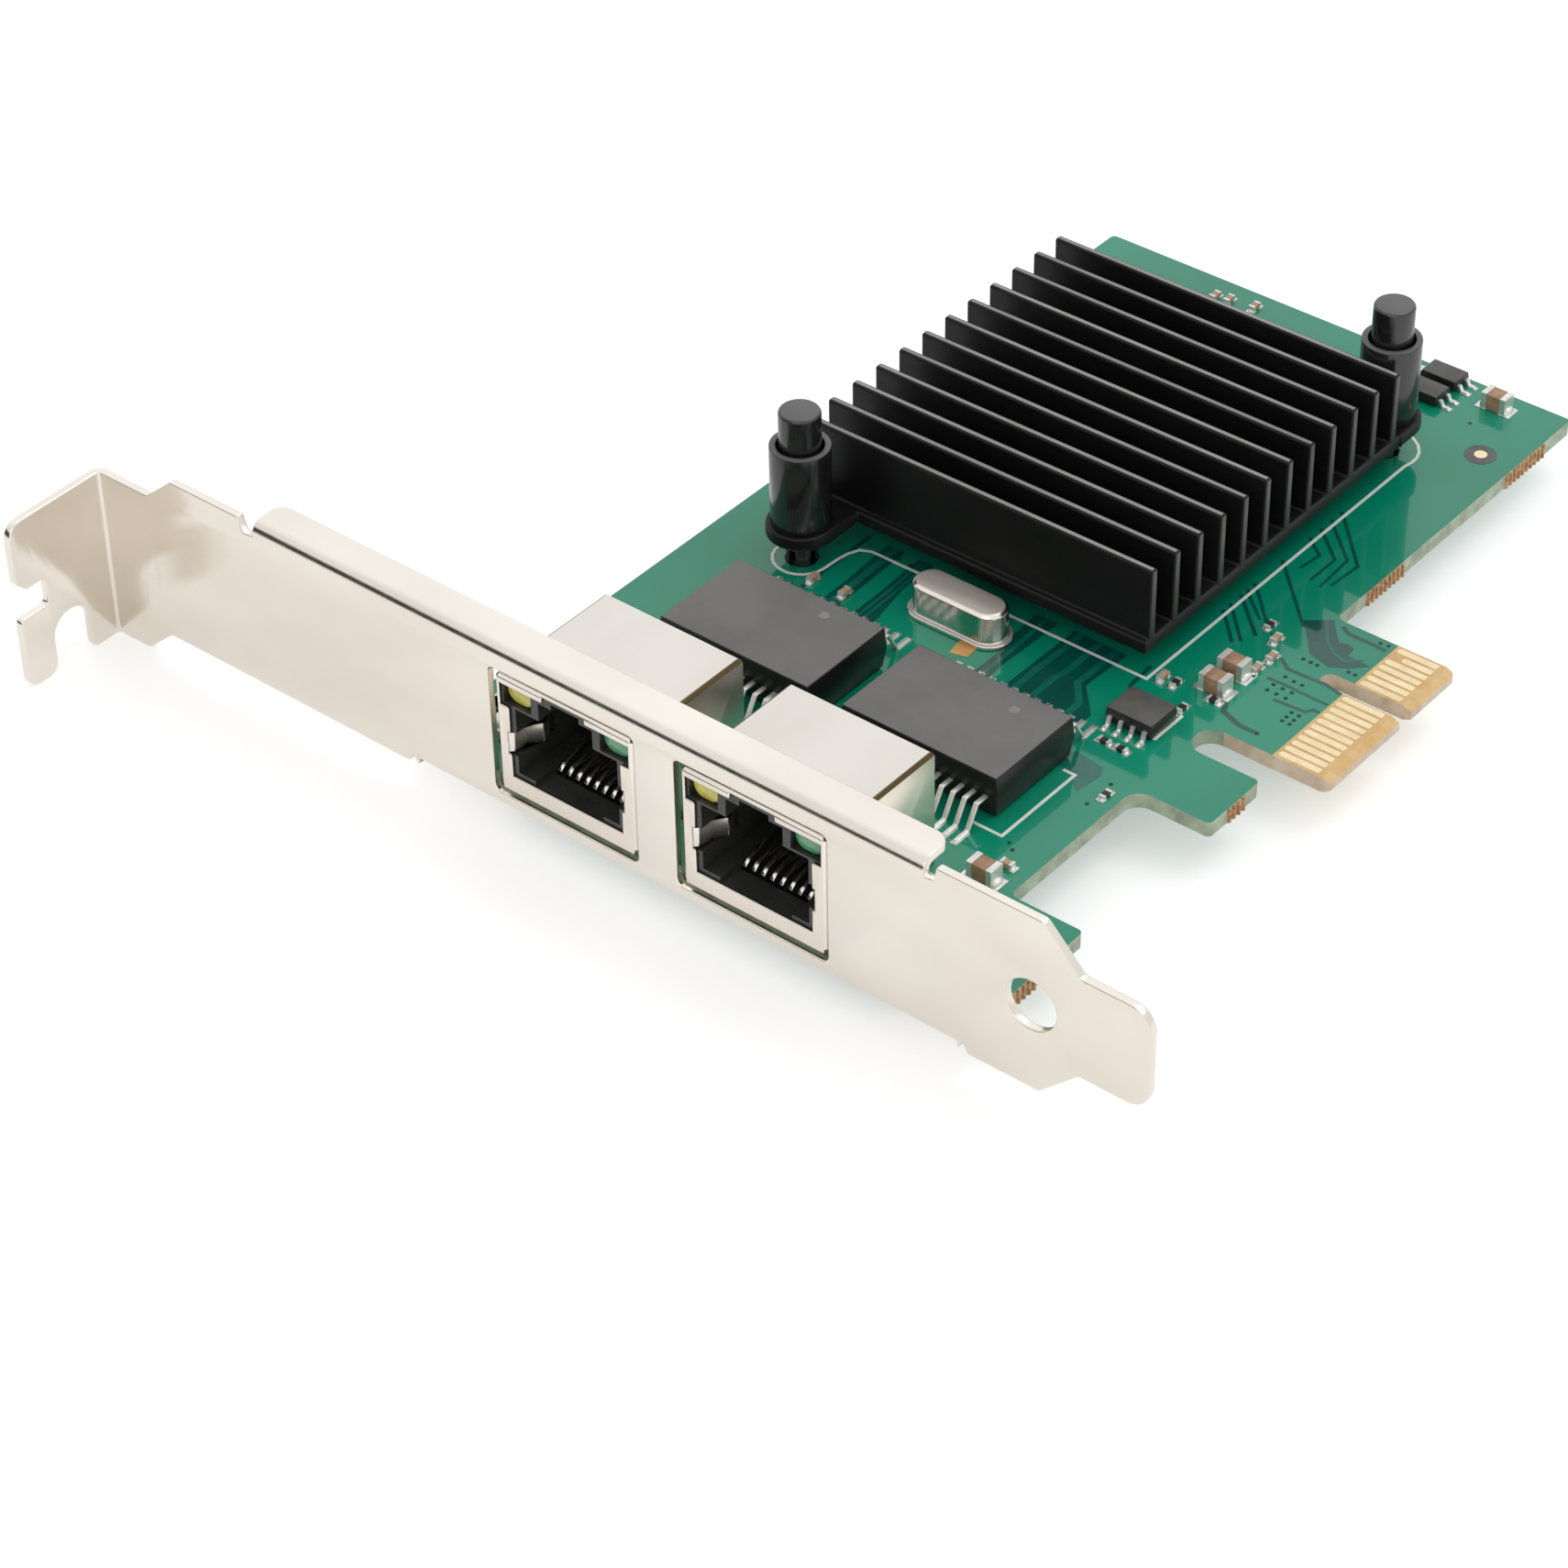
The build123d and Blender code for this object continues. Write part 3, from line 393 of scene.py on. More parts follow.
def makeBoardFinish():
    # Glossy green lacquer on both faces, pale cut edges, bare resin between the gold pads and
    # brown broken stubs
    look = boardLook
    material, nodes, links, shader = startMaterial("boardLacquer")
    coords = objectCoords(nodes, links)
    place = separate(nodes, links, coords)

    def tones(scale, dark, light):
        patches = noise(nodes, links, coords, look[scale])
        spread = remap(nodes, links, patches, *surface["patchSpan"], 0, 1)
        return mixColours(nodes, links, spread, look[dark], look[light])

    def inside(zone):
        return insideZone(nodes, links, place, zone)

    mask = tones("patchScale", "maskDark", "maskLight")
    resin = tones("edgeScale", "resinDark", "resinLight")
    bare = inside("bareTongue")
    face = mixColours(nodes, links, bare, mask, resin)
    edge = tones("edgeScale", "edgeDark", "edgeLight")
    tongue = tones("edgeScale", "tongueDark", "tongueLight")
    edge = mixColours(nodes, links, inside("tongue"), edge, tongue)
    isFace = maths(nodes, links, "GREATER_THAN", facing(nodes, links, 2), look["faceTilt"])
    colour = mixColours(nodes, links, isFace, edge, face)
    stub = tones("stubScale", "stubDark", "stubLight")
    for zone in ("backStubs", "hookStubs", "footStubs"):
        colour = mixColours(nodes, links, inside(zone), colour, stub)
    links.new(colour, shader.inputs["Base Color"])
    grain = noise(nodes, links, coords, look["grainScale"])
    rough = remap(nodes, links, grain, *surface["grainSpan"], look["smooth"], look["rough"])
    links.new(rough, shader.inputs["Roughness"])
    addBump(nodes, links, shader, grain, look["bump"], surface["bumpDepth"])
    lacquer = maths(nodes, links, "SUBTRACT", isFace, bare)
    links.new(maths(nodes, links, "MAXIMUM", lacquer, 0.0), shader.inputs["Coat Weight"])
    shader.inputs["Coat Roughness"].default_value = look["coatRough"]
    shader.inputs["Specular IOR Level"].default_value = look["shine"]
    return material


made["boardLacquer"] = makeBoardFinish()

lensLooks = {
    "yellowLens": {"colour": (0.82, 0.73, 0.16), "deep": (0.64, 0.56, 0.10)},
    "greenLens": {"colour": (0.15, 0.46, 0.22), "deep": (0.09, 0.33, 0.15)},
}
lensPlastic = {
    "cloudScale": 700, "rough": 0.22, "scatter": 0.5, "scatterReach": (0.6, 0.6, 0.3),
    "scatterDepth": 1.0 * mm, "coat": 0.4,
}


def makeLens(name, look):
    # Tinted plastic that lets light in a little way and scatters it
    material, nodes, links, shader = startMaterial(name)
    clouds = noise(nodes, links, objectCoords(nodes, links), lensPlastic["cloudScale"])
    spread = remap(nodes, links, clouds, *surface["patchSpan"], 0, 1)
    links.new(mixColours(nodes, links, spread, look["deep"], look["colour"]), shader.inputs["Base Color"])
    shader.inputs["Roughness"].default_value = lensPlastic["rough"]
    shader.inputs["Subsurface Weight"].default_value = lensPlastic["scatter"]
    shader.inputs["Subsurface Radius"].default_value = lensPlastic["scatterReach"]
    shader.inputs["Subsurface Scale"].default_value = lensPlastic["scatterDepth"]
    shader.inputs["Coat Weight"].default_value = lensPlastic["coat"]
    return material


for name, look in lensLooks.items():
    made[name] = makeLens(name, look)


# CAD nodes that keep their shape

def dress(node, finish):
    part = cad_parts[node]
    part.data.materials.clear()
    part.data.materials.append(made[finish])


sockets = ("left", "right")
kept = {
    "circuit_board": "boardLacquer", "controller_chip": "chipBlack", "thermal_pad": "padGrey",
    "crystal_leads": "tinPlate", "memory_chip_leads": "tinPlate", "regulator_leads": "tinPlate",
    "large_capacitor_ends": "tinPlate", "small_capacitor_ends": "tinPlate",
    "small_resistor_ends": "tinPlate", "small_capacitor_bodies": "ceramicTan",
    "small_resistor_bodies": "resistorBlack",
}
for side in sockets:
    kept[side + "_socket_housing"] = "housingBlack"
for node, finish in kept.items():
    dress(node, finish)
print("nodes dressed:", len(kept))


# Pieces with the small round edges that the solids leave out

def newObject(name, bm, material):
    mesh = bpy.data.meshes.new(name)
    bm.to_mesh(mesh)
    bm.free()
    mesh.materials.append(material)
    thing = bpy.data.objects.new(name, mesh)
    scene.collection.objects.link(thing)
    return thing


def finishPiece(name, bm, finish, slot, smoothAngle):
    piece = newObject(name, bm, made[finish])
    piece.data.shade_smooth()
    piece.data.set_sharp_from_angle(angle=math.radians(smoothAngle))
    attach(piece, "root")
    return piece


mergeDistance = 0.001 * mm


def mergedCopy(node):
    # A copy of a node's solids, with the loose triangles joined at their corners
    bm = bmesh.new()
    bm.from_mesh(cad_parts[node].data)
    bmesh.ops.remove_doubles(bm, verts=bm.verts, dist=mergeDistance)
    return bm


# What a piece has unless its own dictionary says otherwise, with angles in degrees. The rise is
# the least share of an upright edge's length
rounding = {"angle": 40, "segments": 2, "smoothAngle": 50, "flatAngle": 0.8, "rise": 0.9}


def softened(node, own):
    # The solid again, with a small round on every edge sharper than the given angle
    look = {**rounding, **own}
    bm = mergedCopy(node)
    flat = math.radians(look["flatAngle"])
    bmesh.ops.dissolve_limit(bm, angle_limit=flat, verts=bm.verts, edges=bm.edges)
    sharp = math.radians(look["angle"])
    edges = [e for e in bm.edges if len(e.link_faces) == 2 and e.calc_face_angle(0) > sharp]
    if look.get("convex"):
        edges = [e for e in edges if e.calc_face_angle_signed(0) > 0]
    if look.get("upright"):
        rise = look["rise"]
        edges = [e for e in edges if abs(e.verts[0].co.z - e.verts[1].co.z) > rise * e.calc_length()]
    bmesh.ops.bevel(bm, geom=edges, offset=look["round"] * mm, offset_type="OFFSET", affect="EDGES",
                    segments=look["segments"], profile=0.5, material=-1, clamp_overlap=False)
    piece = finishPiece(look["name"], bm, look["finish"], look["slot"], look["smoothAngle"])
    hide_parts(node)


# Each node, the piece that takes its place, and the round on its edges in mm
roundedPieces = {
    "mounting_bracket": {
        "name": "bracket", "slot": "bracket_nickel", "finish": "bracketNickel", "round": 0.15,
        "segments": 3, "convex": True},
    "heat_sink": {
        "name": "finned_sink", "slot": "black_anodised", "finish": "sinkBlack", "round": 0.28,
        "segments": 4},
    "crystal_can": {
        "name": "crystal_cover", "slot": "can_nickel", "finish": "canNickel", "round": 0.12},
    "bracket_screws": {
        "name": "pan_screws", "slot": "screw_steel", "finish": "screwNickel", "round": 0.1},
    "memory_chip_body": {
        "name": "memory_moulding", "slot": "chip_package", "finish": "chipBlack", "round": 0.06,
        "angle": 25},
    "regulator_bodies": {
        "name": "regulator_mouldings", "slot": "chip_package", "finish": "chipBlack", "round": 0.06,
        "angle": 25},
    "large_capacitor_bodies": {
        "name": "capacitor_ceramics", "slot": "ceramic_brown", "finish": "ceramicBrown", "round": 0.05},
    "edge_contacts": {
        "name": "gold_fingers", "slot": "gold_plating", "finish": "goldPlate", "round": 0.14,
        "segments": 3, "upright": True},
}
for end in ("front", "rear"):
    roundedPieces[end + "_pin_sleeve"] = {
        "name": end + "_sleeve", "slot": "pin_black", "finish": "pinBlack", "round": 0.1}
    roundedPieces[end + "_pin_plunger"] = {
        "name": end + "_plunger", "slot": "pin_black", "finish": "pinBlack", "round": 0.1, "angle": 35}
for side in sockets:
    roundedPieces[side + "_socket_shield"] = {
        "name": side + "_shield", "slot": "shield_nickel", "finish": "shieldNickel", "round": 0.1,
        "angle": 30}
    roundedPieces[side + "_yellow_light"] = {
        "name": side + "_yellow_lens", "slot": "light_yellow", "finish": "yellowLens", "round": 0.2,
        "segments": 3}
    roundedPieces[side + "_green_light"] = {
        "name": side + "_green_lens", "slot": "light_green", "finish": "greenLens", "round": 0.2,
        "segments": 3}
    roundedPieces[side + "_transformer_body"] = {
        "name": side + "_transformer_moulding", "slot": "transformer_black",
        "finish": "transformerBlack", "round": 0.14, "angle": 25}
    roundedPieces[side + "_transformer_leads"] = {
        "name": side + "_transformer_legs", "slot": "tin", "finish": "tinPlate", "round": 0.07,
        "angle": 25, "smoothAngle": 60}
    roundedPieces[side + "_socket_contacts"] = {
        "name": side + "_contact_wires", "slot": "contact_gold", "finish": "wireSilver", "round": 0.12,
        "segments": 3, "angle": 80, "smoothAngle": 60}
for node, look in roundedPieces.items():
    softened(node, look)
print("rounded pieces:", len(roundedPieces))


# Flat things on the board: printed lines, copper under the lacquer, pads and vias

# How high each layer stands above the board, and how far all of them are sunk into it
layers = {
    "gap": 0.012, "trace": 0.024, "via": 0.036, "ring": 0.03, "copper": 0.045, "pad": 0.055,
    "silk": 0.05, "sunk": 0.02,
}


def thicken(bm, faces, height):
    raised = bmesh.ops.extrude_face_region(bm, geom=faces)
    lift = [v for v in raised["geom"] if isinstance(v, bmesh.types.BMVert)]
    bmesh.ops.translate(bm, verts=lift, vec=(0, 0, (height + layers["sunk"]) * mm))


mitre = 0.4  # the least value that a sharp corner's width is divided by


def ribbon(bm, points, width, height):
    # A thin bar that follows the points on the board's face
    flat = [Vector((x, y)) for x, y in points]
    ways = [(b - a).normalized() for a, b in zip(flat, flat[1:])]
    pairs = []
    for i, point in enumerate(flat):
        before = ways[max(i - 1, 0)]
        after = ways[min(i, len(ways) - 1)]
        across = Vector((-(before.y + after.y), before.x + after.x)).normalized()
        reach = width / 2 / max(mitre, across.dot(Vector((-after.y, after.x))))
        spots = [point + across * reach * sign for sign in (1, -1)]
        pairs.append([bm.verts.new(cardPoint(s.x, s.y, -layers["sunk"])) for s in spots])
    faces = [bm.faces.new((a, b, d, c)) for (a, b), (c, d) in zip(pairs, pairs[1:])]
    thicken(bm, faces, height)


def slab(bm, corners, height):
    verts = [bm.verts.new(cardPoint(x, y, -layers["sunk"])) for x, y in corners]
    thicken(bm, [bm.faces.new(verts)], height)


def disc(bm, x, y, width, top, sides=12, bottom=-layers["sunk"]):
    place = Matrix.Translation(cardPoint(x, y, (top + bottom) / 2))
    bmesh.ops.create_cone(bm, cap_ends=True, segments=sides, radius1=width / 2 * mm,
                          radius2=width / 2 * mm, depth=(top - bottom) * mm, matrix=place)


def arc(x, y, radius, start, end, steps):
    # Points of an arc, with its ends in degrees
    angles = [math.radians(start + (end - start) * i / steps) for i in range(steps + 1)]
    return [(x + radius * math.cos(a), y + radius * math.sin(a)) for a in angles]


def madePiece(name, finish, slot, fill, smoothAngle=30):
    bm = bmesh.new()
    fill(bm)
    bmesh.ops.recalc_face_normals(bm, faces=bm.faces)
    finishPiece(name, bm, finish, slot, smoothAngle)


# The printed lines: one goes round the heat sink and its pins, and two are short marks
silk = {
    "width": 0.31, "front": 47.2, "right": 86.0, "crystal": (62.0, 70.2),
    "pinRadius": 2.8, "pinArc": (150, 355), "pinSteps": 14,
    "beforePin": [(47.0, 44.6)], "cornerRise": 46.5,
    "afterPin": [(52.5, 44.3), (52.7, 45.6), (53.2, 46.7)], "pinEnd": 54.3,
    "rearPin": [(86.0, 89.6), (86.2, 90.6), (86.15, 91.6), (85.8, 92.5), (85.1, 93.4), (84.1, 94.1),
                (82.6, 94.4)],
    "backEnd": 80.5,
    "marks": [[(87.88, 32.0), (89.15, 32.0), (89.15, 21.3), (85.9, 21.3)], [(91.7, 44.76), (91.7, 40.4)]],
}


def sinkOutline():
    # Two runs that stop at the crystal: round the front pin, and up the right side to the back
    chip = nodeMiddle("controller_chip")
    left = 2 * chip[0] - silk["right"]
    back = 2 * chip[1] - silk["front"]
    pinFrom, pinTo = silk["pinArc"]
    ring = arc(*nodeMiddle("front_pin_sleeve"), silk["pinRadius"], pinFrom, pinTo, silk["pinSteps"])
    first, second = silk["crystal"]
    frontRun = ([(left, back), (left, silk["cornerRise"])] + silk["beforePin"] + ring
                + silk["afterPin"] + [(x, silk["front"]) for x in (silk["pinEnd"], first)])
    backRun = ([(second, silk["front"]), (silk["right"], silk["front"])] + silk["rearPin"]
               + [(silk["backEnd"], back), (left, back)])
    return [frontRun, backRun]


def silkLines(bm):
    for points in sinkOutline() + silk["marks"]:
        ribbon(bm, points, silk["width"], layers["silk"])


madePiece("printed_lines", "silkWhite", "green_board", silkLines)

# Where the copper under the lacquer stops, the lacquer looks darker: the corners of each gap
copperGaps = [
    [(54.8, 49), (54.9, 46.6), (55.2, 41.8), (55.2, 35), (57.1, 35), (57.0, 42), (56.8, 49)],
    [(58.5, 49), (58.8, 42.2), (58.8, 35), (62.0, 35), (60.6, 42.3), (60.2, 44.5), (60.2, 49)],
    [(72.2, 49), (72.5, 45.8), (73.0, 41.8), (73.0, 35), (74.5, 35), (74.5, 41.8), (74.8, 49)],
    [(76.6, 49), (76.5, 44.3), (76.4, 35), (85.4, 35), (85.2, 39.8), (83.6, 41.6), (82.3, 43.0),
     (82.3, 44.4), (82.6, 49)],
    [(92.2, 63.3), (95.5, 59.4), (97.9, 58.8), (99.5, 59.7), (100.9, 61.2), (98.4, 61.3),
     (98.3, 62.5), (97.5, 62.7), (96.6, 62.5), (94.4, 65.0)],
]
paleGap = [(86.0, 33.7), (87.3, 34.8), (90.5, 34.4), (91.0, 33.3), (90.6, 30.3), (89.4, 31.2),
           (89.4, 32.2), (86.6, 32.2)]
# Each line, dark or pale: its width and its points
gapLines = [
    (0.45, [(52.6, 49), (52.6, 44.3), (52.5, 38)]),
    (0.45, [(85.2, 49), (85.4, 45.6), (86.6, 44.2)]),
    (0.35, [(85.4, 60.1), (86.5, 59.0), (88.9, 56.5)]),
    (0.35, [(85.4, 61.3), (86.7, 60.0), (89.5, 57.1)]),
    (0.40, [(85.4, 63.0), (86.8, 61.7), (90.1, 58.6)]),
    (0.35, [(85.4, 64.1), (86.7, 62.8), (89.0, 60.9)]),
    (0.35, [(85.4, 65.2), (87.0, 63.7), (91.0, 59.6)]),
    (0.35, [(85.4, 69.8), (89.5, 65.7), (92.8, 62.4)]),
    (0.35, [(85.4, 79.7), (86.7, 78.4), (91.5, 73.3), (91.2, 69.2)]),
    (0.35, [(85.4, 78.0), (86.4, 77.0), (90.2, 73.5), (90.5, 68.5)]),
    (0.35, [(85.4, 76.3), (86.1, 75.6), (89.2, 72.9), (89.2, 68.8)]),
    (0.35, [(85.4, 74.4), (85.9, 73.9), (87.7, 72.6), (87.4, 69.8)]),
    (0.45, [(95.6, 64.7), (96.6, 64.1), (99.3, 64.1), (100.7, 64.0)]),
    (0.42, [(93.8, 57.3), (95.2, 56.3), (97.8, 56.4), (99.2, 56.5), (101.1, 56.1)]),
    (0.36, [(94.5, 54.1), (96.2, 54.2), (99.6, 54.1), (101.0, 54.1)]),
    (0.36, [(96.7, 51.8), (100.0, 52.0), (100.4, 52.7), (101.1, 52.7)]),
    (0.55, [(93.6, 48.9), (94.2, 47.6), (96.4, 46.8), (98.4, 46.8)]),
]
traceLines = [
    (0.75, [(55.85, 49), (56.05, 42), (56.15, 35)]),
    (0.28, [(59.0, 49), (59.3, 44.0), (59.5, 35)]),
    (0.28, [(59.6, 49), (59.9, 44.0), (60.2, 35)]),
    (0.45, [(73.5, 49), (73.7, 45.0), (73.8, 42.0), (73.8, 35)]),
    (0.70, [(77.4, 49), (77.4, 46.1), (77.3, 42.3), (77.5, 35)]),
    (0.70, [(79.6, 49), (79.65, 43.8), (79.3, 42.0), (79.4, 35)]),
    (0.70, [(81.5, 49), (81.5, 44.6), (81.4, 42.9), (83.3, 40.6), (83.4, 35)]),
    (0.30, [(93.9, 64.6), (95.6, 62.1), (97.2, 60.8), (98.6, 60.4), (99.8, 61.5)]),
]
# The grids give the X places and the Y places of their rows
vias = {
    "width": 0.4,
    "grids": [
        ((95.5, 96.3, 97.0), (58.4,)), ((99.8, 100.5), (59.3,)), ((95.5, 96.5, 97.5), (53.6, 52.6)),
        ((99.1, 99.9), (51.2, 50.4, 49.7)),
    ],
    "spots": [
        (99.7, 64.7), (100.5, 64.8), (95.7, 55.2), (96.7, 55.1), (97.6, 55.1), (98.4, 46.8),
        (92.39, 32.93), (92.33, 29.46), (50.9, 46.5), (53.5, 47.9), (57.0, 47.9), (58.5, 47.7),
        (87.0, 99.7), (90.2, 21.0), (91.0, 20.4),
    ],
}


def gaps(bm):
    for corners in copperGaps:
        slab(bm, corners, layers["gap"])
    for width, points in gapLines:
        ribbon(bm, points, width, layers["gap"])


def traces(bm):
    slab(bm, paleGap, layers["trace"])
    for width, points in traceLines:
        ribbon(bm, points, width, layers["trace"])


def platedVias(bm):
    inGrids = [(x, y) for across, along in vias["grids"] for y in along for x in across]
    for x, y in inGrids + vias["spots"]:
        disc(bm, x, y, vias["width"], layers["via"])


madePiece("copper_gaps", "gapGreen", "green_board", gaps)
madePiece("covered_traces", "traceGreen", "green_board", traces)
madePiece("plated_vias", "viaDark", "green_board", platedVias)

# The gold dot in its grey ring, the corners of the bare copper by the crystal, and the dots on
# the transformers
fiducial = {"place": (90.69, 95.8), "ring": 3.2, "ringSides": 32, "dot": 1.3, "dotSides": 24}
copperPad = [(69.19, 41.11), (71.13, 41.75), (71.28, 39.76), (69.54, 39.28)]
mouldDots = {"places": [(60.87, 31.94), (82.79, 31.46)], "width": 1.0, "proud": 0.01, "sides": 20}


def fiducialRing(bm):
    disc(bm, *fiducial["place"], fiducial["ring"], layers["ring"], fiducial["ringSides"])


def fiducialDot(bm):
    disc(bm, *fiducial["place"], fiducial["dot"], layers["pad"], fiducial["dotSides"])


def mouldMarks(bm):
    # The plain dot by the first pin, nearly flush with the transformer's top
    top = cardBox("left_transformer_body")[1].z
    proud = mouldDots["proud"]
    for x, y in mouldDots["places"]:
        disc(bm, x, y, mouldDots["width"], top + proud, mouldDots["sides"], top - proud)


madePiece("fiducial_ring", "resinGrey", "green_board", fiducialRing)
madePiece("fiducial_dot", "goldPlate", "gold_plating", fiducialDot)
madePiece("copper_pad", "bareCopper", "gold_plating", lambda bm: slab(bm, copperPad, layers["copper"]))
madePiece("mould_dots", "dotGrey", "transformer_black", mouldMarks)
print("board pattern made")


# Tin pads and solder

def islands(node):
    # Each separate solid in a node, as its points in the drawing's millimetres
    bm = mergedCopy(node)
    left = set(bm.verts)
    groups = []
    while left:
        queue = [left.pop()]
        group = list(queue)
        while queue:
            for edge in queue.pop().link_edges:
                for vert in edge.verts:
                    if vert in left:
                        left.discard(vert)
                        group.append(vert)
                        queue.append(vert)
        groups.append([toCard(v.co) for v in group])
    bm.free()
    return groups


def span(points, axis):
    values = [p[axis] for p in points]
    return min(values), max(values)


def flatMiddle(points):
    return Vector([sum(span(points, k)) / 2 for k in range(2)])


# How far a pad shows beside its metal end, and beyond it
padLook = {"side": 0.1, "chipReach": 0.5, "smallReach": 0.26, "legReach": 0.35}


def pad(bm, x0, x1, y0, y1):
    slab(bm, [(x0, y0), (x1, y0), (x1, y1), (x0, y1)], layers["pad"])


def chipEnds():
    # Each metal end: its middle, its half sizes, its height, the way out from its part, and how
    # far the pad reaches that way
    for kind, reach in (("large_capacitor", "chipReach"), ("small_capacitor", "smallReach"),
                        ("small_resistor", "smallReach")):
        bodies = [flatMiddle(points) for points in islands(kind + "_bodies")]
        for points in islands(kind + "_ends"):
            spot = flatMiddle(points)
            body = min(bodies, key=lambda middle: (middle - spot).length)
            half = Vector([(span(points, k)[1] - span(points, k)[0]) / 2 for k in range(2)])
            yield spot, half, span(points, 2)[1], (spot - body).normalized(), padLook[reach]


# Each row of leads: the body it comes from, the axis its feet point along and their length in mm
legNodes = {
    "memory_chip_leads": {"body": "memory_chip_body", "axis": 1, "foot": 0.6},
    "regulator_leads": {"body": "regulator_bodies", "axis": 0, "foot": 0.6},
    "left_transformer_leads": {"body": "left_transformer_body", "axis": 1, "foot": 1.7},
    "right_transformer_leads": {"body": "right_transformer_body", "axis": 1, "foot": 1.7},
}


def legFeet():
    # Each lead's foot: the axis it points along, the place of its toe, which way it points, its
    # length, and its middle and half width across
    for node, look in legNodes.items():
        axis = look["axis"]
        low, high = cardBox(look["body"])
        middle = (low[axis] + high[axis]) / 2
        for points in islands(node):
            near, far = span(points, axis)
            side = span(points, 1 - axis)
            sign = 1 if near + far > 2 * middle else -1
            toe = far if sign > 0 else near
            yield axis, toe, sign, look["foot"], sum(side) / 2, (side[1] - side[0]) / 2


def tinPads(bm):
    for spot, half, height, way, reach in chipEnds():
        grow = Vector((padLook["side"], padLook["side"]))
        low = spot - half - grow
        high = spot + half + grow
        out = way * reach
        pad(bm, min(low.x, low.x + out.x), max(high.x, high.x + out.x),
            min(low.y, low.y + out.y), max(high.y, high.y + out.y))
    for axis, toe, sign, foot, middle, half in legFeet():
        ends = sorted((toe - sign * foot, toe + sign * padLook["legReach"]))
        sides = (middle - half - padLook["side"], middle + half + padLook["side"])
        pad(bm, *(ends + list(sides) if axis == 0 else list(sides) + ends))


# Half sizes and heights of the heaps, some as shares of the end or foot that they hold
heapLook = {
    "around": 14, "rings": 8, "reachShare": 0.8, "widthShare": 0.95, "heightShare": 0.36,
    "footReach": 0.26, "footWidthShare": 1.12, "toeHeight": 0.2, "heelHeight": 0.34,
}


def blob(bm, x, y, size):
    # A rounded heap of solder on the board, with the half widths and the height in size
    place = Matrix.Translation(cardPoint(x, y)) @ Matrix.Diagonal((*[s * mm for s in size], 1))
    bmesh.ops.create_uvsphere(bm, u_segments=heapLook["around"], v_segments=heapLook["rings"],
                              radius=1, matrix=place)


def solderHeaps(bm):
    for spot, half, height, way, reach in chipEnds():
        along = 0 if abs(way.x) > abs(way.y) else 1
        edge = spot + way * half[along]
        size = [half[k] * heapLook["widthShare"] for k in range(2)]
        size[along] = reach * heapLook["reachShare"]
        blob(bm, edge.x, edge.y, (*size, height * heapLook["heightShare"]))
    for axis, toe, sign, foot, middle, half in legFeet():
        for along, height in ((toe, heapLook["toeHeight"]), (toe - sign * foot, heapLook["heelHeight"])):
            size = [half * heapLook["footWidthShare"]] * 2
            size[axis] = heapLook["footReach"]
            spot = [middle, middle]
            spot[axis] = along
            blob(bm, *spot, (*size, height))


# The width of the solder at each kind of wire or leg, the cone's rise, the shares of the width at
# its tip and its foot, and how far apart along X two legs of one solid stand at least
underside = {
    "tail": 1.3, "leg": 2.2, "crystal": 1.3, "rise": 0.7, "tip": 0.2, "base": 0.5, "sides": 18,
    "sunk": 0.01, "clear": 0.3, "apart": 3,
}


def legGroups(points):
    # The points of each leg by themselves
    groups = []
    for point in sorted(points, key=lambda p: p.x):
        if groups and point.x - groups[-1][-1].x < underside["apart"]:
            groups[-1].append(point)
        else:
            groups.append([point])
    return groups


def undersideSolder(bm):
    # A cone of solder round each wire and leg that comes through the board
    back = (card["bottom"] - card["top"]) / mm
    wires = [("crystal_leads", "crystal")]
    wires += [(side + "_socket_contacts", "tail") for side in sockets]
    wires += [(side + "_socket_shield", "leg") for side in sockets]
    rise = underside["rise"]
    for node, kind in wires:
        for points in islands(node):
            for group in legGroups([p for p in points if p.z < back - underside["clear"]]):
                place = cardPoint(*flatMiddle(group), back - rise / 2 + underside["sunk"])
                bmesh.ops.create_cone(bm, cap_ends=True, segments=underside["sides"], depth=rise * mm,
                                      radius1=underside["tip"] * underside[kind] * mm,
                                      radius2=underside["base"] * underside[kind] * mm,
                                      matrix=Matrix.Translation(place))


madePiece("solder_pads", "solderedTin", "tin", tinPads)
madePiece("solder_joints", "solderedTin", "tin", solderHeaps, smoothAngle=60)
madePiece("underside_solder", "solderedTin", "tin", undersideSolder, smoothAngle=60)
print("solder made")


# Camera, floor and light

# The photograph's camera: its place in metres, its lens and sensor in mm, and its three axes
photo = {
    "place": (0.208626, -0.269446, 0.256968), "lens": 103.75, "sensor": 36.0, "near": 0.01,
    "right": (0.77443, 0.63247, -0.01584), "up": (-0.38868, 0.49537, 0.77688),
    "forward": (-0.49920, 0.59548, -0.62945),
}


def makeCamera():
    data = bpy.data.cameras.new("photoCamera")
    data.lens = photo["lens"]
    data.sensor_width = photo["sensor"]
    data.clip_start = photo["near"]
    camera = bpy.data.objects.new("photoCamera", data)
    scene.collection.objects.link(camera)
    right, up, forward, place = (Vector(photo[k]) for k in ("right", "up", "forward", "place"))
    rows = [(right[i], up[i], -forward[i], place[i]) for i in range(3)]
    camera.matrix_world = Matrix((*rows, (0, 0, 0, 1)))
    scene.camera = camera


def seenRays(nodes, links):
    # 1 where the camera looks, directly or through a reflection or clear plastic
    path = nodes.new("ShaderNodeLightPath")
    seen = maths(nodes, links, "MAXIMUM", path.outputs["Is Camera Ray"], path.outputs["Is Glossy Ray"])
    return maths(nodes, links, "MAXIMUM", seen, path.outputs["Is Transmission Ray"])


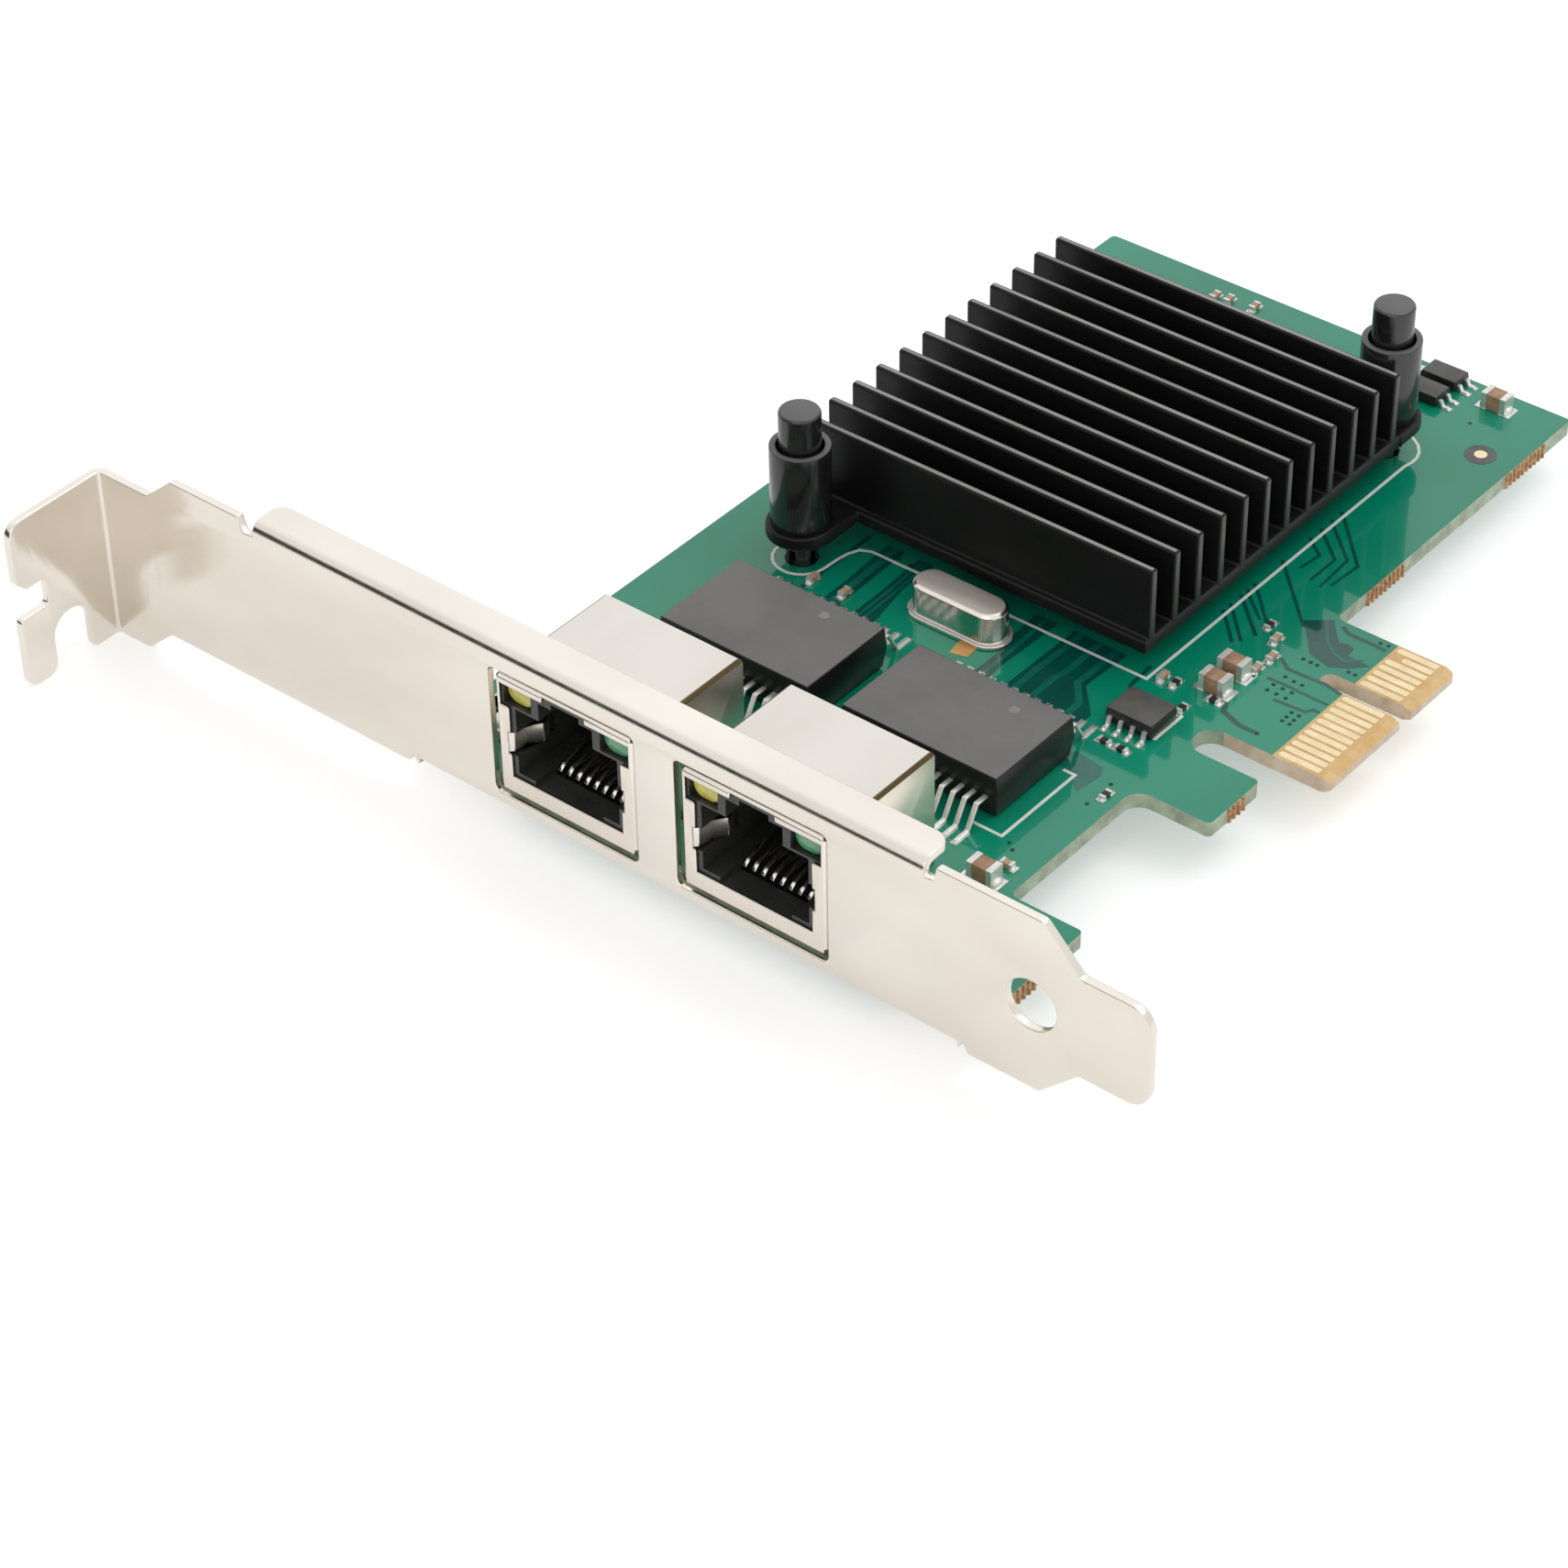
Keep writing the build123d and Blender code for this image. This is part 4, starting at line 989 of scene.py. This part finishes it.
floorPaper = {
    "size": 6.0, "dark": (0.84, 0.84, 0.84), "light": (0.86, 0.86, 0.86), "paperScale": 3.0,
    "paperSpan": (0.97, 1.0), "glow": 0.4, "rough": 0.9, "shine": 0.1,
}


def makeFloor():
    # Pale paper that looks white where nothing shades it
    look = floorPaper
    material, nodes, links, shader = startMaterial("floorPaper")
    grain = noise(nodes, links, objectCoords(nodes, links), look["paperScale"])
    paper = remap(nodes, links, grain, *surface["grainSpan"], *look["paperSpan"])
    tint = mixColours(nodes, links, paper, look["dark"], look["light"])
    links.new(tint, shader.inputs["Base Color"])
    shader.inputs["Roughness"].default_value = look["rough"]
    shader.inputs["Specular IOR Level"].default_value = look["shine"]
    shader.inputs["Emission Color"].default_value = (1, 1, 1, 1)
    glow = maths(nodes, links, "MULTIPLY", seenRays(nodes, links), look["glow"])
    links.new(glow, shader.inputs["Emission Strength"])
    bm = bmesh.new()
    bmesh.ops.create_grid(bm, x_segments=1, y_segments=1, size=look["size"] / 2)
    bmesh.ops.translate(bm, verts=bm.verts, vec=(0, 0, cadLow.z))
    newObject("studio_floor", bm, material)


darkCard = {
    "centre": (-0.26, -0.44, 0.10), "size": (0.7, 0.004, 0.2), "dark": (0.02, 0.02, 0.02),
    "light": (0.03, 0.03, 0.03), "fibreScale": 40, "rough": 0.9,
}


def makeDarkCard():
    # A low dark card beside the camera, unseen by it, that gives the metal's round edges their
    # dark line
    look = darkCard
    material, nodes, links, shader = startMaterial("cardPaper")
    grain = noise(nodes, links, objectCoords(nodes, links), look["fibreScale"])
    fibre = remap(nodes, links, grain, *surface["grainSpan"], 0, 1)
    tint = mixColours(nodes, links, fibre, look["dark"], look["light"])
    links.new(tint, shader.inputs["Base Color"])
    shader.inputs["Roughness"].default_value = look["rough"]
    bm = bmesh.new()
    centre = Vector(look["centre"])
    place = Matrix.Translation(centre) @ Matrix.Rotation(math.atan2(-centre.x, centre.y), 4, "Z")
    bmesh.ops.create_cube(bm, size=1, matrix=place @ Matrix.Diagonal((*look["size"], 1)))
    board = newObject("dark_card", bm, material)
    board.visible_camera = False


# The sky's strength as light on the object, and as the camera and reflections see it
sky = {"lit": 0.72, "seen": 1.0}


def makeSky():
    world = bpy.data.worlds.new("studioSky")
    scene.world = world
    world.use_nodes = True
    nodes, links = world.node_tree.nodes, world.node_tree.links
    strength = remap(nodes, links, seenRays(nodes, links), 0.0, 1.0, sky["lit"], sky["seen"])
    nodes["Background"].inputs["Color"].default_value = (1, 1, 1, 1)
    links.new(strength, nodes["Background"].inputs["Strength"])


lamps = {
    "keyLamp": {"power": 1.25, "size": 0.5, "place": (0.27, 0.30, 0.80)},
    "fillLamp": {"power": 0.8, "size": 0.6, "place": (0.25, -0.75, 0.55)},
}


def makeLamp(name, look):
    # A square soft light that faces the card
    data = bpy.data.lights.new(name, "AREA")
    data.shape = "SQUARE"
    data.size = look["size"]
    data.energy = look["power"]
    lamp = bpy.data.objects.new(name, data)
    scene.collection.objects.link(lamp)
    lamp.location = look["place"]
    lamp.rotation_euler = (-Vector(look["place"])).to_track_quat("-Z", "Y").to_euler()
    lamp.visible_camera = False


makeCamera()
makeFloor()
makeDarkCard()
makeSky()
for name, look in lamps.items():
    makeLamp(name, look)
scene.view_settings.view_transform = "Standard"
print("camera, floor and light made")

bpy.context.view_layer.update()
